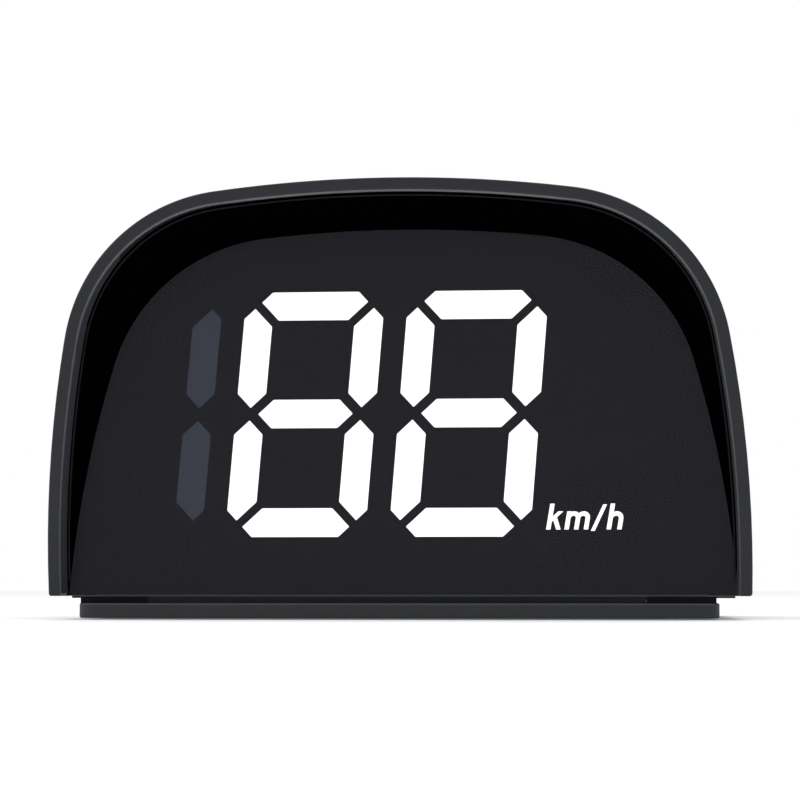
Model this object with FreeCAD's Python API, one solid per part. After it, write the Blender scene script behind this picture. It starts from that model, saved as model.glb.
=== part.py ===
import FreeCAD, Part
import math
import os

os.makedirs("parts", exist_ok=True)
V = FreeCAD.Vector
NODES = {}

# ---- overall layout (mm): X right, -Y towards the reader, +Z up ----
DEPTH = 60.0
Z_PAD = 0.0
Z_BASE = 0.2
BASE_THICK = 1.9
Z_BASE_TOP = Z_BASE + BASE_THICK
Z_HOOD = 3.0
Z_TOP = 80.0
REACH = 60.0
RIM_RAKE = 7.0
WINDOW_LEAN = 4.0
WINDOW_SETBACK = 5.0
SIDE_TAPER = 2.5
WALL = 1.2
RIM_WALL = 1.75
BEAD_DEPTH = 3.2
LIP_T = 0.98
MOUTH_INSET = 0.15
FUNNEL_T = 0.8
FIT = 0.1
ROOF_ROUND = 2.5
RIM_ROUND = 0.3
BEAD_ROUND = 0.5
TOE_OUT = 0.25
TOE_IN = 0.35

# arch outlines: top height, then radius and end angle of each tangent arc
RIM_ARCH = (53.1, 178.0, 7.35, 22.79, 79.44, 160.5)
WINDOW_ARCH = (48.15, 166.2, 6.3, 23.27, 74.0, 148.3)

Y_RIM = -DEPTH / 2 + RIM_ARCH[0] * math.sin(math.radians(RIM_RAKE))
Y_WINDOW = Y_RIM + WINDOW_SETBACK
Y_REAR = DEPTH / 2 - 0.8
Z_SLOPE_END = 20.0
Z_SLOPE_TOP = 54.5
Y_SLOPE_TOP = Y_RIM + 17.0
SLOPE = math.atan2(Z_SLOPE_TOP - Z_SLOPE_END, Y_REAR - Y_SLOPE_TOP)

# ---- digits, in the leaning plane of the window ----
DIGIT_H = 32.3
DIGIT_W = 18.36
STROKE = 3.75
CORNER = 3.5
SEGMENT_GAP = 1.18
DIGIT_SLANT = 0.076
DIGIT_PITCH = 21.45
DIGIT_BASE = 7.77
TENS_X = -23.14
LEGEND_X = 18.74
LEGEND_W = 10.4
LEGEND_H = 3.35
LEGEND_X_H = 2.35
LEGEND_STROKE = 0.57
LEGEND_SLANT = 0.165
LEGEND_BASE = 8.68
LEGEND_M = (2.35, 1.82)
LEGEND_SLASH = (6.05, -0.18, 7.09, 3.24, 0.5)
LEGEND_SMALL_H = (7.79, 1.93)

# ---- display stack, depths behind the window's face ----
WINDOW_T = 1.5
AIR_GAP = 0.03
LIGHT_BOX = (-32.5, 31.5, 5.2, 43.5)
LED_BOARD = (-34.0, 33.0, 3.6, 45.0)
PLUG_X0 = 25.0
PLUG_X1 = 32.0
PLUG_WALL = 0.5
RIBBON_T = 0.3
RIBBON_UP = 7.25
LEAD_R = 0.55
MASK_T = 0.25
LENS_T = 1.2
BOX_REAR = 6.5
LED_BOARD_T = 1.2
LED_H = 0.8
FOAM_T = 0.8
BATTERY = (48.0, 6.0, 26.0)
BATTERY_UP = 6.2
BATTERY_ROUND = 1.6
FOAM_HALF = 21.0
FOAM_MARGIN = 2.0

# ---- hinge ----
HINGE_Y = Y_RIM + 8.6
HINGE_Z = 3.2
HINGE_R = 1.5
PIN_R = 0.75
KNUCKLE_HALF = 20.0
LUG_START = 20.4
LUG_END = 31.5
LUG_HALF_Y = 1.1
PIN_HALF = 32.0
HUMP_R = 2.8
KNUCKLE_GAP = 0.35
WASHER_R = 1.4

# ---- base ----
BASE_HALF = 40.8
BASE_Y0 = Y_RIM - 2.0
BASE_Y1 = Y_RIM + 50.0
BASE_CORNER = 2.0
BASE_FOOT = 0.25
BASE_EDGE = 0.2
TROUGH_Y0 = HINGE_Y - 4.8
TROUGH_Y1 = HINGE_Y + 2.6
TROUGH_D = 0.9
PAD_SIZE = (70.0, 34.0)
PAD_T = 0.8
PAD_Y0 = Y_RIM + 13.0
PAD_CORNER = 3.0
RIB_Y0 = BASE_Y0 + 0.6
RIB_Y1 = BASE_Y0 + 3.6
RIB_HALF = 31.4
STRIP_START = 31.7
STRIP_END = 40.4
Z_REST = Z_HOOD - 0.05
REAR_STRIP = (30.0, 3.0, 3.0)

# ---- bottom cover and boards ----
COVER_T = 1.6
Z_FLOOR = Z_HOOD + COVER_T
SILL_HALF = 39.6
SILL_Z = 2.7
SILL_TOP = Z_HOOD + 0.16
SILL_OUT = 0.35
BOARD_Z = 7.6
BOARD_T = 1.2
BOARD_TOP = BOARD_Z + BOARD_T
BOARD_HALF = 34.0
BOARD_Y0 = 1.0
BOARD_Y1 = Y_REAR - WALL - 0.5
BOARD_SCREWS = [(sx * 30.0, y) for sx in (-1, 1) for y in (8.5, 16.5)]
BOARD_POST_R = 2.2
CASE_SCREWS = [(sx * 38.0, y) for sx in (-1, 1) for y in (-8.5, 20.0)]
POST_R = 2.5
POST_Z0 = Z_FLOOR + 1.2
POST_Z1 = 17.0
POST_WEB = 8.0
SCREW_R = 1.0
SCREW_HEAD_R = 1.9
SCREW_TIP = 13.5
BOARD_SCREW_R = 0.8
BOARD_SCREW_HEAD_R = 1.6

# ---- solar panel, on the sloping roof ----
SOLAR_S = 23.5
SOLAR_W = 62.0
SOLAR_L = 29.0
SOLAR_BOARD_T = 1.0
SOLAR_COVER_T = 0.7
SOLAR_CELL_T = 0.2
SOLAR_POCKET = 1.8
TRAY_MARGIN = 1.4
CELL_MARGIN = 1.5
CELL_GAP = 0.6
CELLS = 6
SOLAR_LEAD_X = (12.7, 14.4)
LEAD_HOLE_R = 1.6

# ---- rear controls ----
PORT_X = -20.0
BUTTON_X = 0.0
SWITCH_X = 20.0
CONTROL_Z = 10.6
BUTTON_R = 3.0
BUTTON_RIM = 0.8
SWITCH_TRAVEL = 2.0
REAR_RECESS = 0.5
PORT_SLOT = (3.0, 1.85)
PORT_RECESS = (7.2, 3.9, 3.4)
SWITCH_SLOT = (2.1, 1.0)
SWITCH_RECESS = (4.0, 2.0)
SWITCH_CASE_HALF = 4.3
LEVER = (0.9, 0.8)
SHELL_W = 8.94
SHELL_H = 3.26
SHELL_T = 0.3
SOCKET_Y0 = 21.2
SOCKET_Y1 = Y_REAR - 0.7
TONGUE = (3.3, 0.35)
FLAP_T = 1.0
FLAP_HALF = 7.0
FLAP_Y0 = Y_REAR - 0.45
FLAP_REACH = 3.2
FLAP_ROUND = 1.5


def box(x0, x1, y0, y1, z0, z1):
    return Part.makeBox(x1 - x0, y1 - y0, z1 - z0, V(x0, y0, z0))


def cyl_x(radius, x0, x1, y, z):
    return Part.makeCylinder(radius, x1 - x0, V(x0, y, z), V(1, 0, 0))


def cyl_y(radius, x, y0, y1, z):
    return Part.makeCylinder(radius, y1 - y0, V(x, y0, z), V(0, 1, 0))


def cyl_z(radius, x, y, z0, z1):
    return Part.makeCylinder(radius, z1 - z0, V(x, y, z0), V(0, 0, 1))


def fuse(shapes):
    return shapes[0].multiFuse(shapes[1:]).removeSplitter()


def group(shapes):
    return Part.makeCompound(shapes)


def leaned(shape, lean, y, z):
    """Lean a shape built upright at the origin back by lean degrees and set it at y, z."""
    out = shape.copy()
    out.rotate(V(0, 0, 0), V(1, 0, 0), -lean)
    out.translate(V(0, y, z))
    return out


def on_window(shape):
    return leaned(shape, WINDOW_LEAN, Y_WINDOW, Z_HOOD)


def on_rim(shape):
    return leaned(shape, -RIM_RAKE, Y_RIM, Z_HOOD)


def wide(y0, y1, z0, z1):
    """Box right across the unit."""
    return box(-REACH, REACH, y0, y1, z0, z1)


def behind_window(depth, z0=-10.0):
    return on_window(wide(depth, 2 * REACH, z0, Z_TOP))


def above_cover():
    return wide(-REACH, REACH, Z_HOOD, Z_TOP)


def arch_half(arch, inset, low):
    """Points of the right half: ends and middles of the crown, shoulder and side arcs."""
    top, r1, a1, r2, a2, r3 = arch
    a1 = math.radians(a1)
    a2 = math.radians(a2)
    c1 = (0.0, top - r1)
    c2 = (c1[0] + (r1 - r2) * math.sin(a1), c1[1] + (r1 - r2) * math.cos(a1))
    c3 = (c2[0] - (r3 - r2) * math.sin(a2), c2[1] - (r3 - r2) * math.cos(a2))
    a3 = math.acos((low - c3[1]) / (r3 - inset))
    points = []
    for c, r, start, end in ((c1, r1, 0.0, a1), (c2, r2, a1, a2), (c3, r3, a2, a3)):
        for angle in (start, (start + end) / 2, end):
            points.append((c[0] + (r - inset) * math.sin(angle),
                           c[1] + (r - inset) * math.cos(angle)))
    return points


def arch_wire(arch, inset, low, y=0.0):
    """Closed arch outline in the XZ plane, flat along its lower edge."""
    half = [V(x, y, z) for x, z in arch_half(arch, inset, low)]
    left = [V(-p.x, p.y, p.z) for p in half]
    edges = [Part.Arc(left[8], left[7], left[6]).toShape(),
             Part.Arc(left[5], left[4], left[3]).toShape(),
             Part.Arc(left[2], half[0], half[2]).toShape(),
             Part.Arc(half[3], half[4], half[5]).toShape(),
             Part.Arc(half[6], half[7], half[8]).toShape(),
             Part.makeLine(half[8], left[8])]
    return Part.Wire(edges)


def loft(a, b):
    return Part.makeLoft([a, b], True, True)


def arch_body(inset, low=-2.0):
    """The tapering arch from the raked rim plane to beyond the rear wall."""
    front = on_rim(arch_wire(RIM_ARCH, inset, low))
    rear = arch_wire(RIM_ARCH, inset + SIDE_TAPER, low)
    rear.translate(V(0, Y_REAR + 4, Z_HOOD))
    return loft(front, rear)


def side_prism(inset, z_low):
    """Side profile: rear wall and the sloping roof that carries the solar panel."""
    y_rear = Y_REAR - inset
    shift = inset / math.sin(SLOPE)
    y_end = Y_REAR - shift
    z_end = Z_SLOPE_END + (y_end - y_rear) * math.tan(SLOPE)
    z_high = Z_SLOPE_TOP + 15
    y_high = y_end - (z_high - Z_SLOPE_END) / math.tan(SLOPE)
    outline = [V(-60, -60, z_low), V(-60, y_rear, z_low), V(-60, y_rear, z_end),
               V(-60, y_high, z_high), V(-60, -60, z_high)]
    face = Part.Face(Part.makePolygon(outline + outline[:1]))
    return face.extrude(V(120, 0, 0))


def on_slope(shape):
    """Set a shape built flat (Y up the slope, Z outward) on the solar roof."""
    out = shape.copy()
    out.rotate(V(0, 0, 0), V(0, 0, 1), 180)
    out.rotate(V(0, 0, 0), V(1, 0, 0), -math.degrees(SLOPE))
    out.translate(V(0, Y_REAR - SOLAR_S * math.cos(SLOPE), Z_SLOPE_END + SOLAR_S * math.sin(SLOPE)))
    return out


def slope_point(x, up, out):
    """World point of slope coordinates: across, up the slope and outward."""
    run = SOLAR_S + up
    return V(x, Y_REAR - run * math.cos(SLOPE) + out * math.sin(SLOPE),
             Z_SLOPE_END + run * math.sin(SLOPE) + out * math.cos(SLOPE))


def window_point(x, depth, up):
    """World point of window coordinates: across, behind its face and up it."""
    lean = math.radians(WINDOW_LEAN)
    return V(x, Y_WINDOW + up * math.sin(lean) + depth * math.cos(lean),
             Z_HOOD + up * math.cos(lean) - depth * math.sin(lean))


def edges_where(shape, test):
    return [e for e in shape.Edges if test(e)]


def rounded(shape, radius, test):
    chosen = edges_where(shape, test)
    if not chosen:
        print("no edges to round", radius)
        return shape
    try:
        out = shape.makeFillet(radius, chosen)
        if out.isValid() and out.Volume > 0:
            return out
    except Exception as problem:
        print("round failed", radius, problem)
    return shape


def add(name, shape):
    NODES[name] = shape


def swept(points, bend, profile):
    """Sweep a closed profile wire, given at the first point, along runs joined by arcs."""
    edges = []
    start = points[0]
    for before, corner, after in zip(points, points[1:], points[2:]):
        u = before.sub(corner).normalize()
        w = after.sub(corner).normalize()
        half = u.getAngle(w) / 2
        cut = bend / math.tan(half)
        p = corner.add(V(u).multiply(cut))
        q = corner.add(V(w).multiply(cut))
        middle = u.add(w).normalize().multiply(bend / math.sin(half) - bend)
        edges.append(Part.makeLine(start, p))
        edges.append(Part.Arc(p, corner.add(middle), q).toShape())
        start = q
    edges.append(Part.makeLine(start, points[-1]))
    return Part.Wire(edges).makePipeShell([profile], True, False)


def lead(points, bend, radius):
    along = points[1].sub(points[0])
    ring = Part.Wire(Part.makeCircle(radius, points[0], along))
    return swept(points, bend, ring)


# ---- hood shell ----
def sloping_edge(e):
    mid = e.valueAt((e.FirstParameter + e.LastParameter) / 2)
    run = (mid.z - Z_SLOPE_END) * math.cos(SLOPE) - (Y_REAR - mid.y) * math.sin(SLOPE)
    return abs(run) < 0.01


def rear_edge(inset):
    def test(e):
        mid = e.valueAt((e.FirstParameter + e.LastParameter) / 2)
        return abs(mid.y - (Y_REAR - inset)) < 0.01 and mid.z > Z_HOOD + 0.5
    return test


def rim_edge(e):
    mid = e.valueAt((e.FirstParameter + e.LastParameter) / 2)
    plane = Y_RIM - (mid.z - Z_HOOD) * math.tan(math.radians(RIM_RAKE))
    return abs(mid.y - plane) < 0.01 and mid.z > Z_HOOD + 0.3


def behind_rim(depth):
    return on_rim(wide(depth, 2 * REACH, -20, Z_TOP))


def ahead_of_rim(depth):
    return on_rim(wide(-20, depth, -20, Z_TOP))


def toe_chamfer(inset, leg, length, side, inward):
    """Prism that takes the corner off the foot of a side wall, along its outer or inner face."""
    x0 = arch_half(RIM_ARCH, inset, 0.0)[-1][0]
    x1 = arch_half(RIM_ARCH, inset + SIDE_TAPER, 0.0)[-1][0]
    slope = (x1 - x0) / (Y_REAR + 4 - Y_RIM)
    start = Y_RIM - 1.0
    corner_x = x0 - slope
    to_wall = leg if inward else -leg
    points = [V(side * (corner_x - to_wall), start, Z_HOOD - leg),
              V(side * (corner_x + to_wall), start, Z_HOOD - leg),
              V(side * (corner_x + to_wall), start, Z_HOOD),
              V(side * corner_x, start, Z_HOOD + leg),
              V(side * (corner_x - to_wall), start, Z_HOOD + leg)]
    face = Part.Face(Part.makePolygon(points + points[:1]))
    return face.extrude(V(side * slope * (length + 1), length + 1, 0))


outer = arch_body(0).common(side_prism(0, Z_HOOD))
outer = rounded(outer, ROOF_ROUND, lambda e: sloping_edge(e) or rear_edge(0)(e))
outer = rounded(outer, RIM_ROUND, rim_edge)
room = arch_body(WALL).common(side_prism(WALL, Z_HOOD - 2)).common(behind_rim(BEAD_DEPTH))
throat = arch_body(RIM_WALL).common(side_prism(RIM_WALL, Z_HOOD - 2)).common(ahead_of_rim(BEAD_DEPTH + 1))
tray_x = SOLAR_W / 2 + TRAY_MARGIN
tray_y = SOLAR_L / 2 + TRAY_MARGIN
tray = on_slope(box(-tray_x, tray_x, -tray_y, tray_y, -SOLAR_POCKET - WALL, 0.0))
pocket_x = SOLAR_W / 2 + FIT
pocket_y = SOLAR_L / 2 + FIT
pocket = on_slope(box(-pocket_x, pocket_x, -pocket_y, pocket_y, -SOLAR_POCKET, ROOF_ROUND * 3))
shell = outer.cut(room.cut(tray)).cut(throat)


def inner_rim_edge(e):
    mid = e.valueAt((e.FirstParameter + e.LastParameter) / 2)
    if not rim_edge(e):
        return False
    local = (mid.z - Z_HOOD) / math.cos(math.radians(RIM_RAKE))
    inner = Part.Face(on_rim(arch_wire(RIM_ARCH, RIM_WALL - 0.2, -3)))
    return inner.distToShape(Part.Vertex(mid))[0] < 0.05 and local > 0.3


shell = rounded(shell, BEAD_ROUND, inner_rim_edge)
for side in (-1, 1):
    shell = shell.cut(toe_chamfer(0, TOE_OUT, DEPTH, side, False))
    shell = shell.cut(toe_chamfer(RIM_WALL, TOE_IN, BEAD_DEPTH + 1, side, True))
shell = shell.cut(pocket)
for x, y in CASE_SCREWS:
    side = 1 if x > 0 else -1
    post = cyl_z(POST_R, x, y, POST_Z0, POST_Z1)
    web_x = sorted((x, x + side * POST_WEB))
    web = box(web_x[0], web_x[1], y - WALL / 2, y + WALL / 2, POST_Z0, POST_Z1)
    boss = post.fuse(web).common(outer)
    shell = shell.fuse(boss).cut(cyl_z(SCREW_R, x, y, Z_FLOOR, SCREW_TIP + 0.5))
Y_IN = Y_REAR - WALL - 2
Y_OUT = DEPTH / 2 + 2
slot_x, slot_z = PORT_SLOT
port_hole = box(PORT_X - slot_x, PORT_X + slot_x, Y_IN, Y_OUT, CONTROL_Z - slot_z, CONTROL_Z + slot_z)
port_hole = port_hole.fuse([cyl_y(slot_z, PORT_X + s * slot_x, Y_IN, Y_OUT, CONTROL_Z) for s in (-1, 1)])
shell = shell.cut(port_hole)
half, below, above = PORT_RECESS
shell = shell.cut(box(PORT_X - half, PORT_X + half, Y_REAR - REAR_RECESS, Y_OUT,
                      CONTROL_Z - below, CONTROL_Z + above))
shell = shell.cut(cyl_y(BUTTON_R + FIT, BUTTON_X, Y_IN, Y_OUT, CONTROL_Z))
for (half_x, half_z), y0 in ((SWITCH_SLOT, Y_IN), (SWITCH_RECESS, Y_REAR - REAR_RECESS)):
    shell = shell.cut(box(SWITCH_X - half_x, SWITCH_X + half_x, y0, Y_OUT,
                          CONTROL_Z - half_z, CONTROL_Z + half_z))
lead_hole_x = -sum(SOLAR_LEAD_X) / len(SOLAR_LEAD_X)
shell = shell.cut(on_slope(Part.makeCylinder(LEAD_HOLE_R, 6, V(lead_hole_x, 0, -5))))
add("hood_shell", shell.removeSplitter())

# ---- black funnel between the rim and the window ----
fit_room = arch_body(WALL + FIT)
lip = on_rim(arch_wire(RIM_ARCH, RIM_WALL + 0.05, -3))
mouth = on_window(arch_wire(WINDOW_ARCH, MOUTH_INSET, -3))
funnel_void = loft(lip, mouth)
funnel_skin = loft(on_rim(arch_wire(RIM_ARCH, RIM_WALL + 0.05 - FUNNEL_T, -3)),
                   on_window(arch_wire(WINDOW_ARCH, MOUTH_INSET - FUNNEL_T, -3)))
flange = on_window(wide(-1.0, 0.0, -10, Z_TOP))
lip_y = BEAD_DEPTH + 0.02
front_lip = on_rim(wide(lip_y, lip_y + LIP_T, -10, Z_TOP))
zone = fit_room.common(on_rim(wide(lip_y, REACH, -10, Z_TOP)))
zone = zone.common(on_window(wide(-REACH, 0, -10, Z_TOP))).common(above_cover())
baffle = zone.common(fuse([funnel_skin, flange, front_lip])).cut(funnel_void)
add("inner_baffle", baffle)

# ---- smoked window and the printed mask behind it ----
window = fit_room.common(on_window(wide(0, WINDOW_T, -10, Z_TOP))).common(above_cover())
add("display_window", window)


def digit_outline(name):
    """Corner points of one segment of an upright digit standing at the origin."""
    h = SEGMENT_GAP / math.sqrt(2)
    lower = DIGIT_H / 2
    bevel = (CORNER + h) / 2
    inside = (CORNER - h) / 2
    mid = STROKE / 2
    top = [(CORNER, DIGIT_H), (DIGIT_W - CORNER, DIGIT_H), (DIGIT_W - bevel, DIGIT_H - inside),
           (DIGIT_W - STROKE - h, DIGIT_H - STROKE), (STROKE + h, DIGIT_H - STROKE),
           (bevel, DIGIT_H - inside)]
    side = [(0, DIGIT_H - CORNER), (inside, DIGIT_H - bevel), (STROKE, DIGIT_H - STROKE - h),
            (STROKE, lower + h + mid), (mid, lower + h), (0, lower + h + mid)]
    bar = [(mid + h + 0.25, lower), (STROKE + h + 0.25, lower + mid),
           (DIGIT_W - STROKE - h - 0.25, lower + mid), (DIGIT_W - mid - h - 0.25, lower),
           (DIGIT_W - STROKE - h - 0.25, lower - mid), (STROKE + h + 0.25, lower - mid)]

    def mirror(points):
        return [(DIGIT_W - x, z) for x, z in points]

    def flip(points):
        return [(x, DIGIT_H - z) for x, z in points]

    return {"a": top, "b": mirror(side), "c": flip(mirror(side)), "d": flip(top),
            "e": flip(side), "f": side, "g": bar}[name]


def plate(points, slant, x, z, depth0, depth1):
    corners = [V(x + px + slant * pz, depth0, z + pz) for px, pz in points]
    face = Part.Face(Part.makePolygon(corners + corners[:1]))
    return face.extrude(V(0, depth1 - depth0, 0))


def digit(column, letters, depth0, depth1):
    x = TENS_X + column * DIGIT_PITCH
    return [plate(digit_outline(s), DIGIT_SLANT, x, DIGIT_BASE, depth0, depth1) for s in letters]


def stroke(x0, z0, x1, z1, width):
    """Slanting bar with level ends, given by the middle of each end."""
    half = width / 2
    return [(x0 - half, z0), (x0 + half, z0), (x1 + half, z1), (x1 - half, z1)]


def arched(x, width, height, depth0, depth1):
    """Round-topped doorway shape used for the arches of m and h."""
    r = width / 2
    leg = [(x, 0.0), (x + width, 0.0), (x + width, height - r), (x, height - r)]
    solid = plate(leg, 0, 0, 0, depth0, depth1)
    return solid.fuse(cyl_y(r, x + r, depth0, depth1, height - r))


def legend(depth0, depth1):
    s = LEGEND_STROKE
    bar = [(0, 0), (s, 0), (s, LEGEND_H), (0, LEGEND_H)]
    k = fuse([plate(bar, 0, 0, 0, depth0, depth1),
              plate([(s - 0.05, 1.62), (1.18, LEGEND_X_H), (1.85, LEGEND_X_H), (s - 0.05, 0.95)],
                    0, 0, 0, depth0, depth1),
              plate([(0.7, 1.3), (1.3, 0), (1.88, 0), (1.12, 1.65)], 0, 0, 0, depth0, depth1)])

    def arch(x, w):
        hole = arched(x + s, w - 2 * s, LEGEND_X_H - s, depth0 - 1, depth1 + 1)
        hole = hole.fuse(plate([(x + s, -1), (x + w - s, -1), (x + w - s, 0.2), (x + s, 0.2)],
                               0, 0, 0, depth0 - 1, depth1 + 1))
        return arched(x, w, LEGEND_X_H, depth0, depth1).cut(hole)

    def stem(x, height):
        return plate([(x, 0), (x + s, 0), (x + s, height), (x, height)], 0, 0, 0, depth0, depth1)

    x, w = LEGEND_M
    m = fuse([stem(x, LEGEND_X_H), arch(x, w), arch(x + w - s, w)])
    slash = plate(stroke(*LEGEND_SLASH), 0, 0, 0, depth0, depth1)
    x, w = LEGEND_SMALL_H
    h = fuse([stem(x, LEGEND_H), arch(x, w)])
    letters = []
    for letter in (k, m, slash, h):
        slanted = letter.transformGeometry(FreeCAD.Matrix(1, 0, LEGEND_SLANT, 0,
                                                          0, 1, 0, 0,
                                                          0, 0, 1, 0,
                                                          0, 0, 0, 1))
        slanted.translate(V(LEGEND_X, 0, LEGEND_BASE))
        letters.append(slanted)
    return letters


LENS0 = WINDOW_T + AIR_GAP
LENS1 = LENS0 + LENS_T
hundreds = digit(-1, "bc", LENS0, LENS1)
tens = digit(0, "abcdefg", LENS0, LENS1)
units = digit(1, "abcdefg", LENS0, LENS1)
letters = legend(LENS0, LENS1)
add("hundreds_segments", on_window(group(hundreds)))
add("tens_segments", on_window(group(tens)))
add("units_segments", on_window(group(units)))
add("unit_legend", on_window(group(letters)))

mask = fit_room.common(on_window(wide(LENS0, LENS0 + MASK_T, -10, Z_TOP)))
mask = mask.common(above_cover())
windows_cut = [on_window(s) for s in hundreds + tens + units + letters]
mask = mask.cut(windows_cut)
add("digit_mask", mask)

# ---- white light box, one straight cell behind each segment ----
BOX0 = LENS0 + MASK_T
light_box = box(LIGHT_BOX[0], LIGHT_BOX[1], BOX0, BOX_REAR, LIGHT_BOX[2], LIGHT_BOX[3])
cells = digit(-1, "bc", BOX0 - 1, BOX_REAR + 1)
cells += digit(0, "abcdefg", BOX0 - 1, BOX_REAR + 1)
cells += digit(1, "abcdefg", BOX0 - 1, BOX_REAR + 1)
cells += legend(BOX0 - 1, LENS1)
cells.append(box(LEGEND_X, LEGEND_X + LEGEND_W, LENS1, BOX_REAR + 1, LEGEND_BASE - 0.3,
                 LEGEND_BASE + LEGEND_H))
light_box = light_box.cut(cells)
add("light_box", on_window(light_box))

# ---- LED board standing behind the light box ----
BOARD0 = BOX_REAR
BOARD1 = BOX_REAR + LED_BOARD_T
add("led_board", on_window(box(LED_BOARD[0], LED_BOARD[1], BOARD0, BOARD1, LED_BOARD[2], LED_BOARD[3])))
leds = []
for column, names in ((-1, "bc"), (0, "abcdefg"), (1, "abcdefg")):
    for s in names:
        outline = digit_outline(s)
        cx = sum(p[0] for p in outline) / len(outline)
        cz = sum(p[1] for p in outline) / len(outline)
        cx += TENS_X + column * DIGIT_PITCH + DIGIT_SLANT * cz
        cz += DIGIT_BASE
        long_x = 1.0 if s in "adg" else 0.65
        long_z = 1.65 - long_x
        leds.append(box(cx - long_x, cx + long_x, BOARD0 - LED_H, BOARD0, cz - long_z, cz + long_z))
for step in range(3):
    cx = LEGEND_X + 2.1 + 3.1 * step
    leds.append(box(cx - 0.8, cx + 0.8, BOARD0 - LED_H, BOARD0, LEGEND_BASE + 1.0, LEGEND_BASE + 2.0))
add("segment_leds", on_window(group(leds)))
led_socket = box(PLUG_X0, PLUG_X1, BOARD1, BOARD1 + 2.2, RIBBON_UP - 1.65, RIBBON_UP + 1.95)
led_socket = led_socket.cut(box(PLUG_X0 + PLUG_WALL, PLUG_X1 - PLUG_WALL, BOARD1 + 1.0, BOARD1 + 3,
                                RIBBON_UP - 0.25, RIBBON_UP + 0.25))
add("led_board_socket", on_window(led_socket))

# ---- battery taped to the back of the LED board ----
BATTERY0 = BOARD1 + FOAM_T
BATTERY1 = BATTERY0 + BATTERY[1]
BATTERY_TOP = BATTERY_UP + BATTERY[2]
foam = box(-FOAM_HALF, FOAM_HALF, BOARD1, BATTERY0, BATTERY_UP + FOAM_MARGIN, BATTERY_TOP - FOAM_MARGIN)
add("battery_foam", on_window(foam))
pouch = box(-BATTERY[0] / 2, BATTERY[0] / 2, BATTERY0, BATTERY1, BATTERY_UP, BATTERY_TOP)
pouch = pouch.makeFillet(BATTERY_ROUND, edges_where(pouch, lambda e: e.BoundBox.ZLength > 5))
add("battery", on_window(pouch))

# ---- bottom cover ----
cover_front = behind_window(BOX0 + FIT, -20)
cover = arch_body(WALL + 0.15).common(side_prism(WALL + 0.15, Z_HOOD - 2))
cover = cover.common(wide(-REACH, REACH, Z_HOOD, Z_FLOOR)).common(cover_front)
hump = cyl_x(HUMP_R, -LUG_END - 1.5, LUG_END + 1.5, HINGE_Y, HINGE_Z).common(above_cover())
extras = [hump.common(cover_front)]
for x, y in CASE_SCREWS:
    extras.append(cyl_z(POST_R + 0.5, x, y, Z_HOOD, POST_Z0 - 0.05))
for x, y in BOARD_SCREWS:
    extras.append(cyl_z(BOARD_POST_R, x, y, Z_HOOD + 0.5, BOARD_Z))
for x in (-26.0, 26.0):
    extras.append(on_window(box(x - 6, x + 6, BOARD1 + 0.1, BOARD1 + 1.2, 1.0, 4.9)))
sill = box(-SILL_HALF, SILL_HALF, Y_WINDOW - SILL_OUT, Y_WINDOW + 3.5, SILL_Z, SILL_TOP)
sill = sill.cut(wide(Y_WINDOW - FIT / 2, Y_WINDOW + BOX0 + FIT, Z_HOOD - FIT / 2, Z_TOP))
extras.append(sill)
cover = fuse([cover] + extras)
for side in (-1, 1):
    x0, x1 = sorted((side * KNUCKLE_HALF, side * (LUG_END + 0.7)))
    cover = cover.cut(cyl_x(HINGE_R + KNUCKLE_GAP, x0, x1, HINGE_Y, HINGE_Z))
knuckle = cyl_x(HINGE_R, -KNUCKLE_HALF, KNUCKLE_HALF, HINGE_Y, HINGE_Z)
cover = cover.fuse(knuckle).cut(cyl_x(PIN_R + 0.05, -BASE_HALF, BASE_HALF, HINGE_Y, HINGE_Z))
for x, y in CASE_SCREWS:
    cover = cover.cut(cyl_z(SCREW_HEAD_R + 0.2, x, y, 2, Z_FLOOR))
    cover = cover.cut(cyl_z(SCREW_R + 0.2, x, y, 2, BOARD_Z))
for x, y in BOARD_SCREWS:
    cover = cover.cut(cyl_z(BOARD_SCREW_R, x, y, Z_HOOD + 1.2, BOARD_Z + 1))
cover = cover.common(wide(-REACH, REACH, HINGE_Z - HINGE_R - 0.1, Z_TOP))
add("bottom_cover", cover.removeSplitter())

# ---- main board and what it carries ----
board = box(-BOARD_HALF, BOARD_HALF, BOARD_Y0, BOARD_Y1, BOARD_Z, BOARD_TOP)
corner_edges = edges_where(board, lambda e: e.BoundBox.ZLength > 1 and e.BoundBox.YMax > 20)
board = board.makeChamfer(2.0, corner_edges)
for x, y in BOARD_SCREWS:
    board = board.cut(cyl_z(1.1, x, y, 0, 20))
board = board.cut(box(BUTTON_X - 4.6, BUTTON_X + 4.6, BOARD_Y1 - 1.3, BOARD_Y1 + 1, 0, 20))
add("main_board", board)


def screw(x, y, head_r, shank_r, head_z0, head_z1, tip_z, slot):
    """Cross-head screw, its head between two heights and its shank reaching to the tip."""
    low, high = sorted((head_z0, head_z1))
    head = cyl_z(head_r, x, y, low, high)
    half = head_r * 0.62
    slot_z = sorted((head_z1, head_z1 + (0.6 if head_z1 < head_z0 else -0.6)))
    head = head.cut(box(x - half, x + half, y - slot, y + slot, slot_z[0], slot_z[1]))
    head = head.cut(box(x - slot, x + slot, y - half, y + half, slot_z[0], slot_z[1]))
    shank = sorted((head_z0, tip_z))
    return head.fuse(cyl_z(shank_r, x, y, shank[0], shank[1])).removeSplitter()


add("board_screws", group([screw(x, y, BOARD_SCREW_HEAD_R, BOARD_SCREW_R, BOARD_TOP, BOARD_TOP + 1.2,
                                 Z_HOOD + 1.4, 0.2) for x, y in BOARD_SCREWS]))
add("housing_screws", group([screw(x, y, SCREW_HEAD_R, SCREW_R, Z_FLOOR, Z_HOOD + 0.3,
                                   SCREW_TIP, 0.25) for x, y in CASE_SCREWS]))

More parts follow.
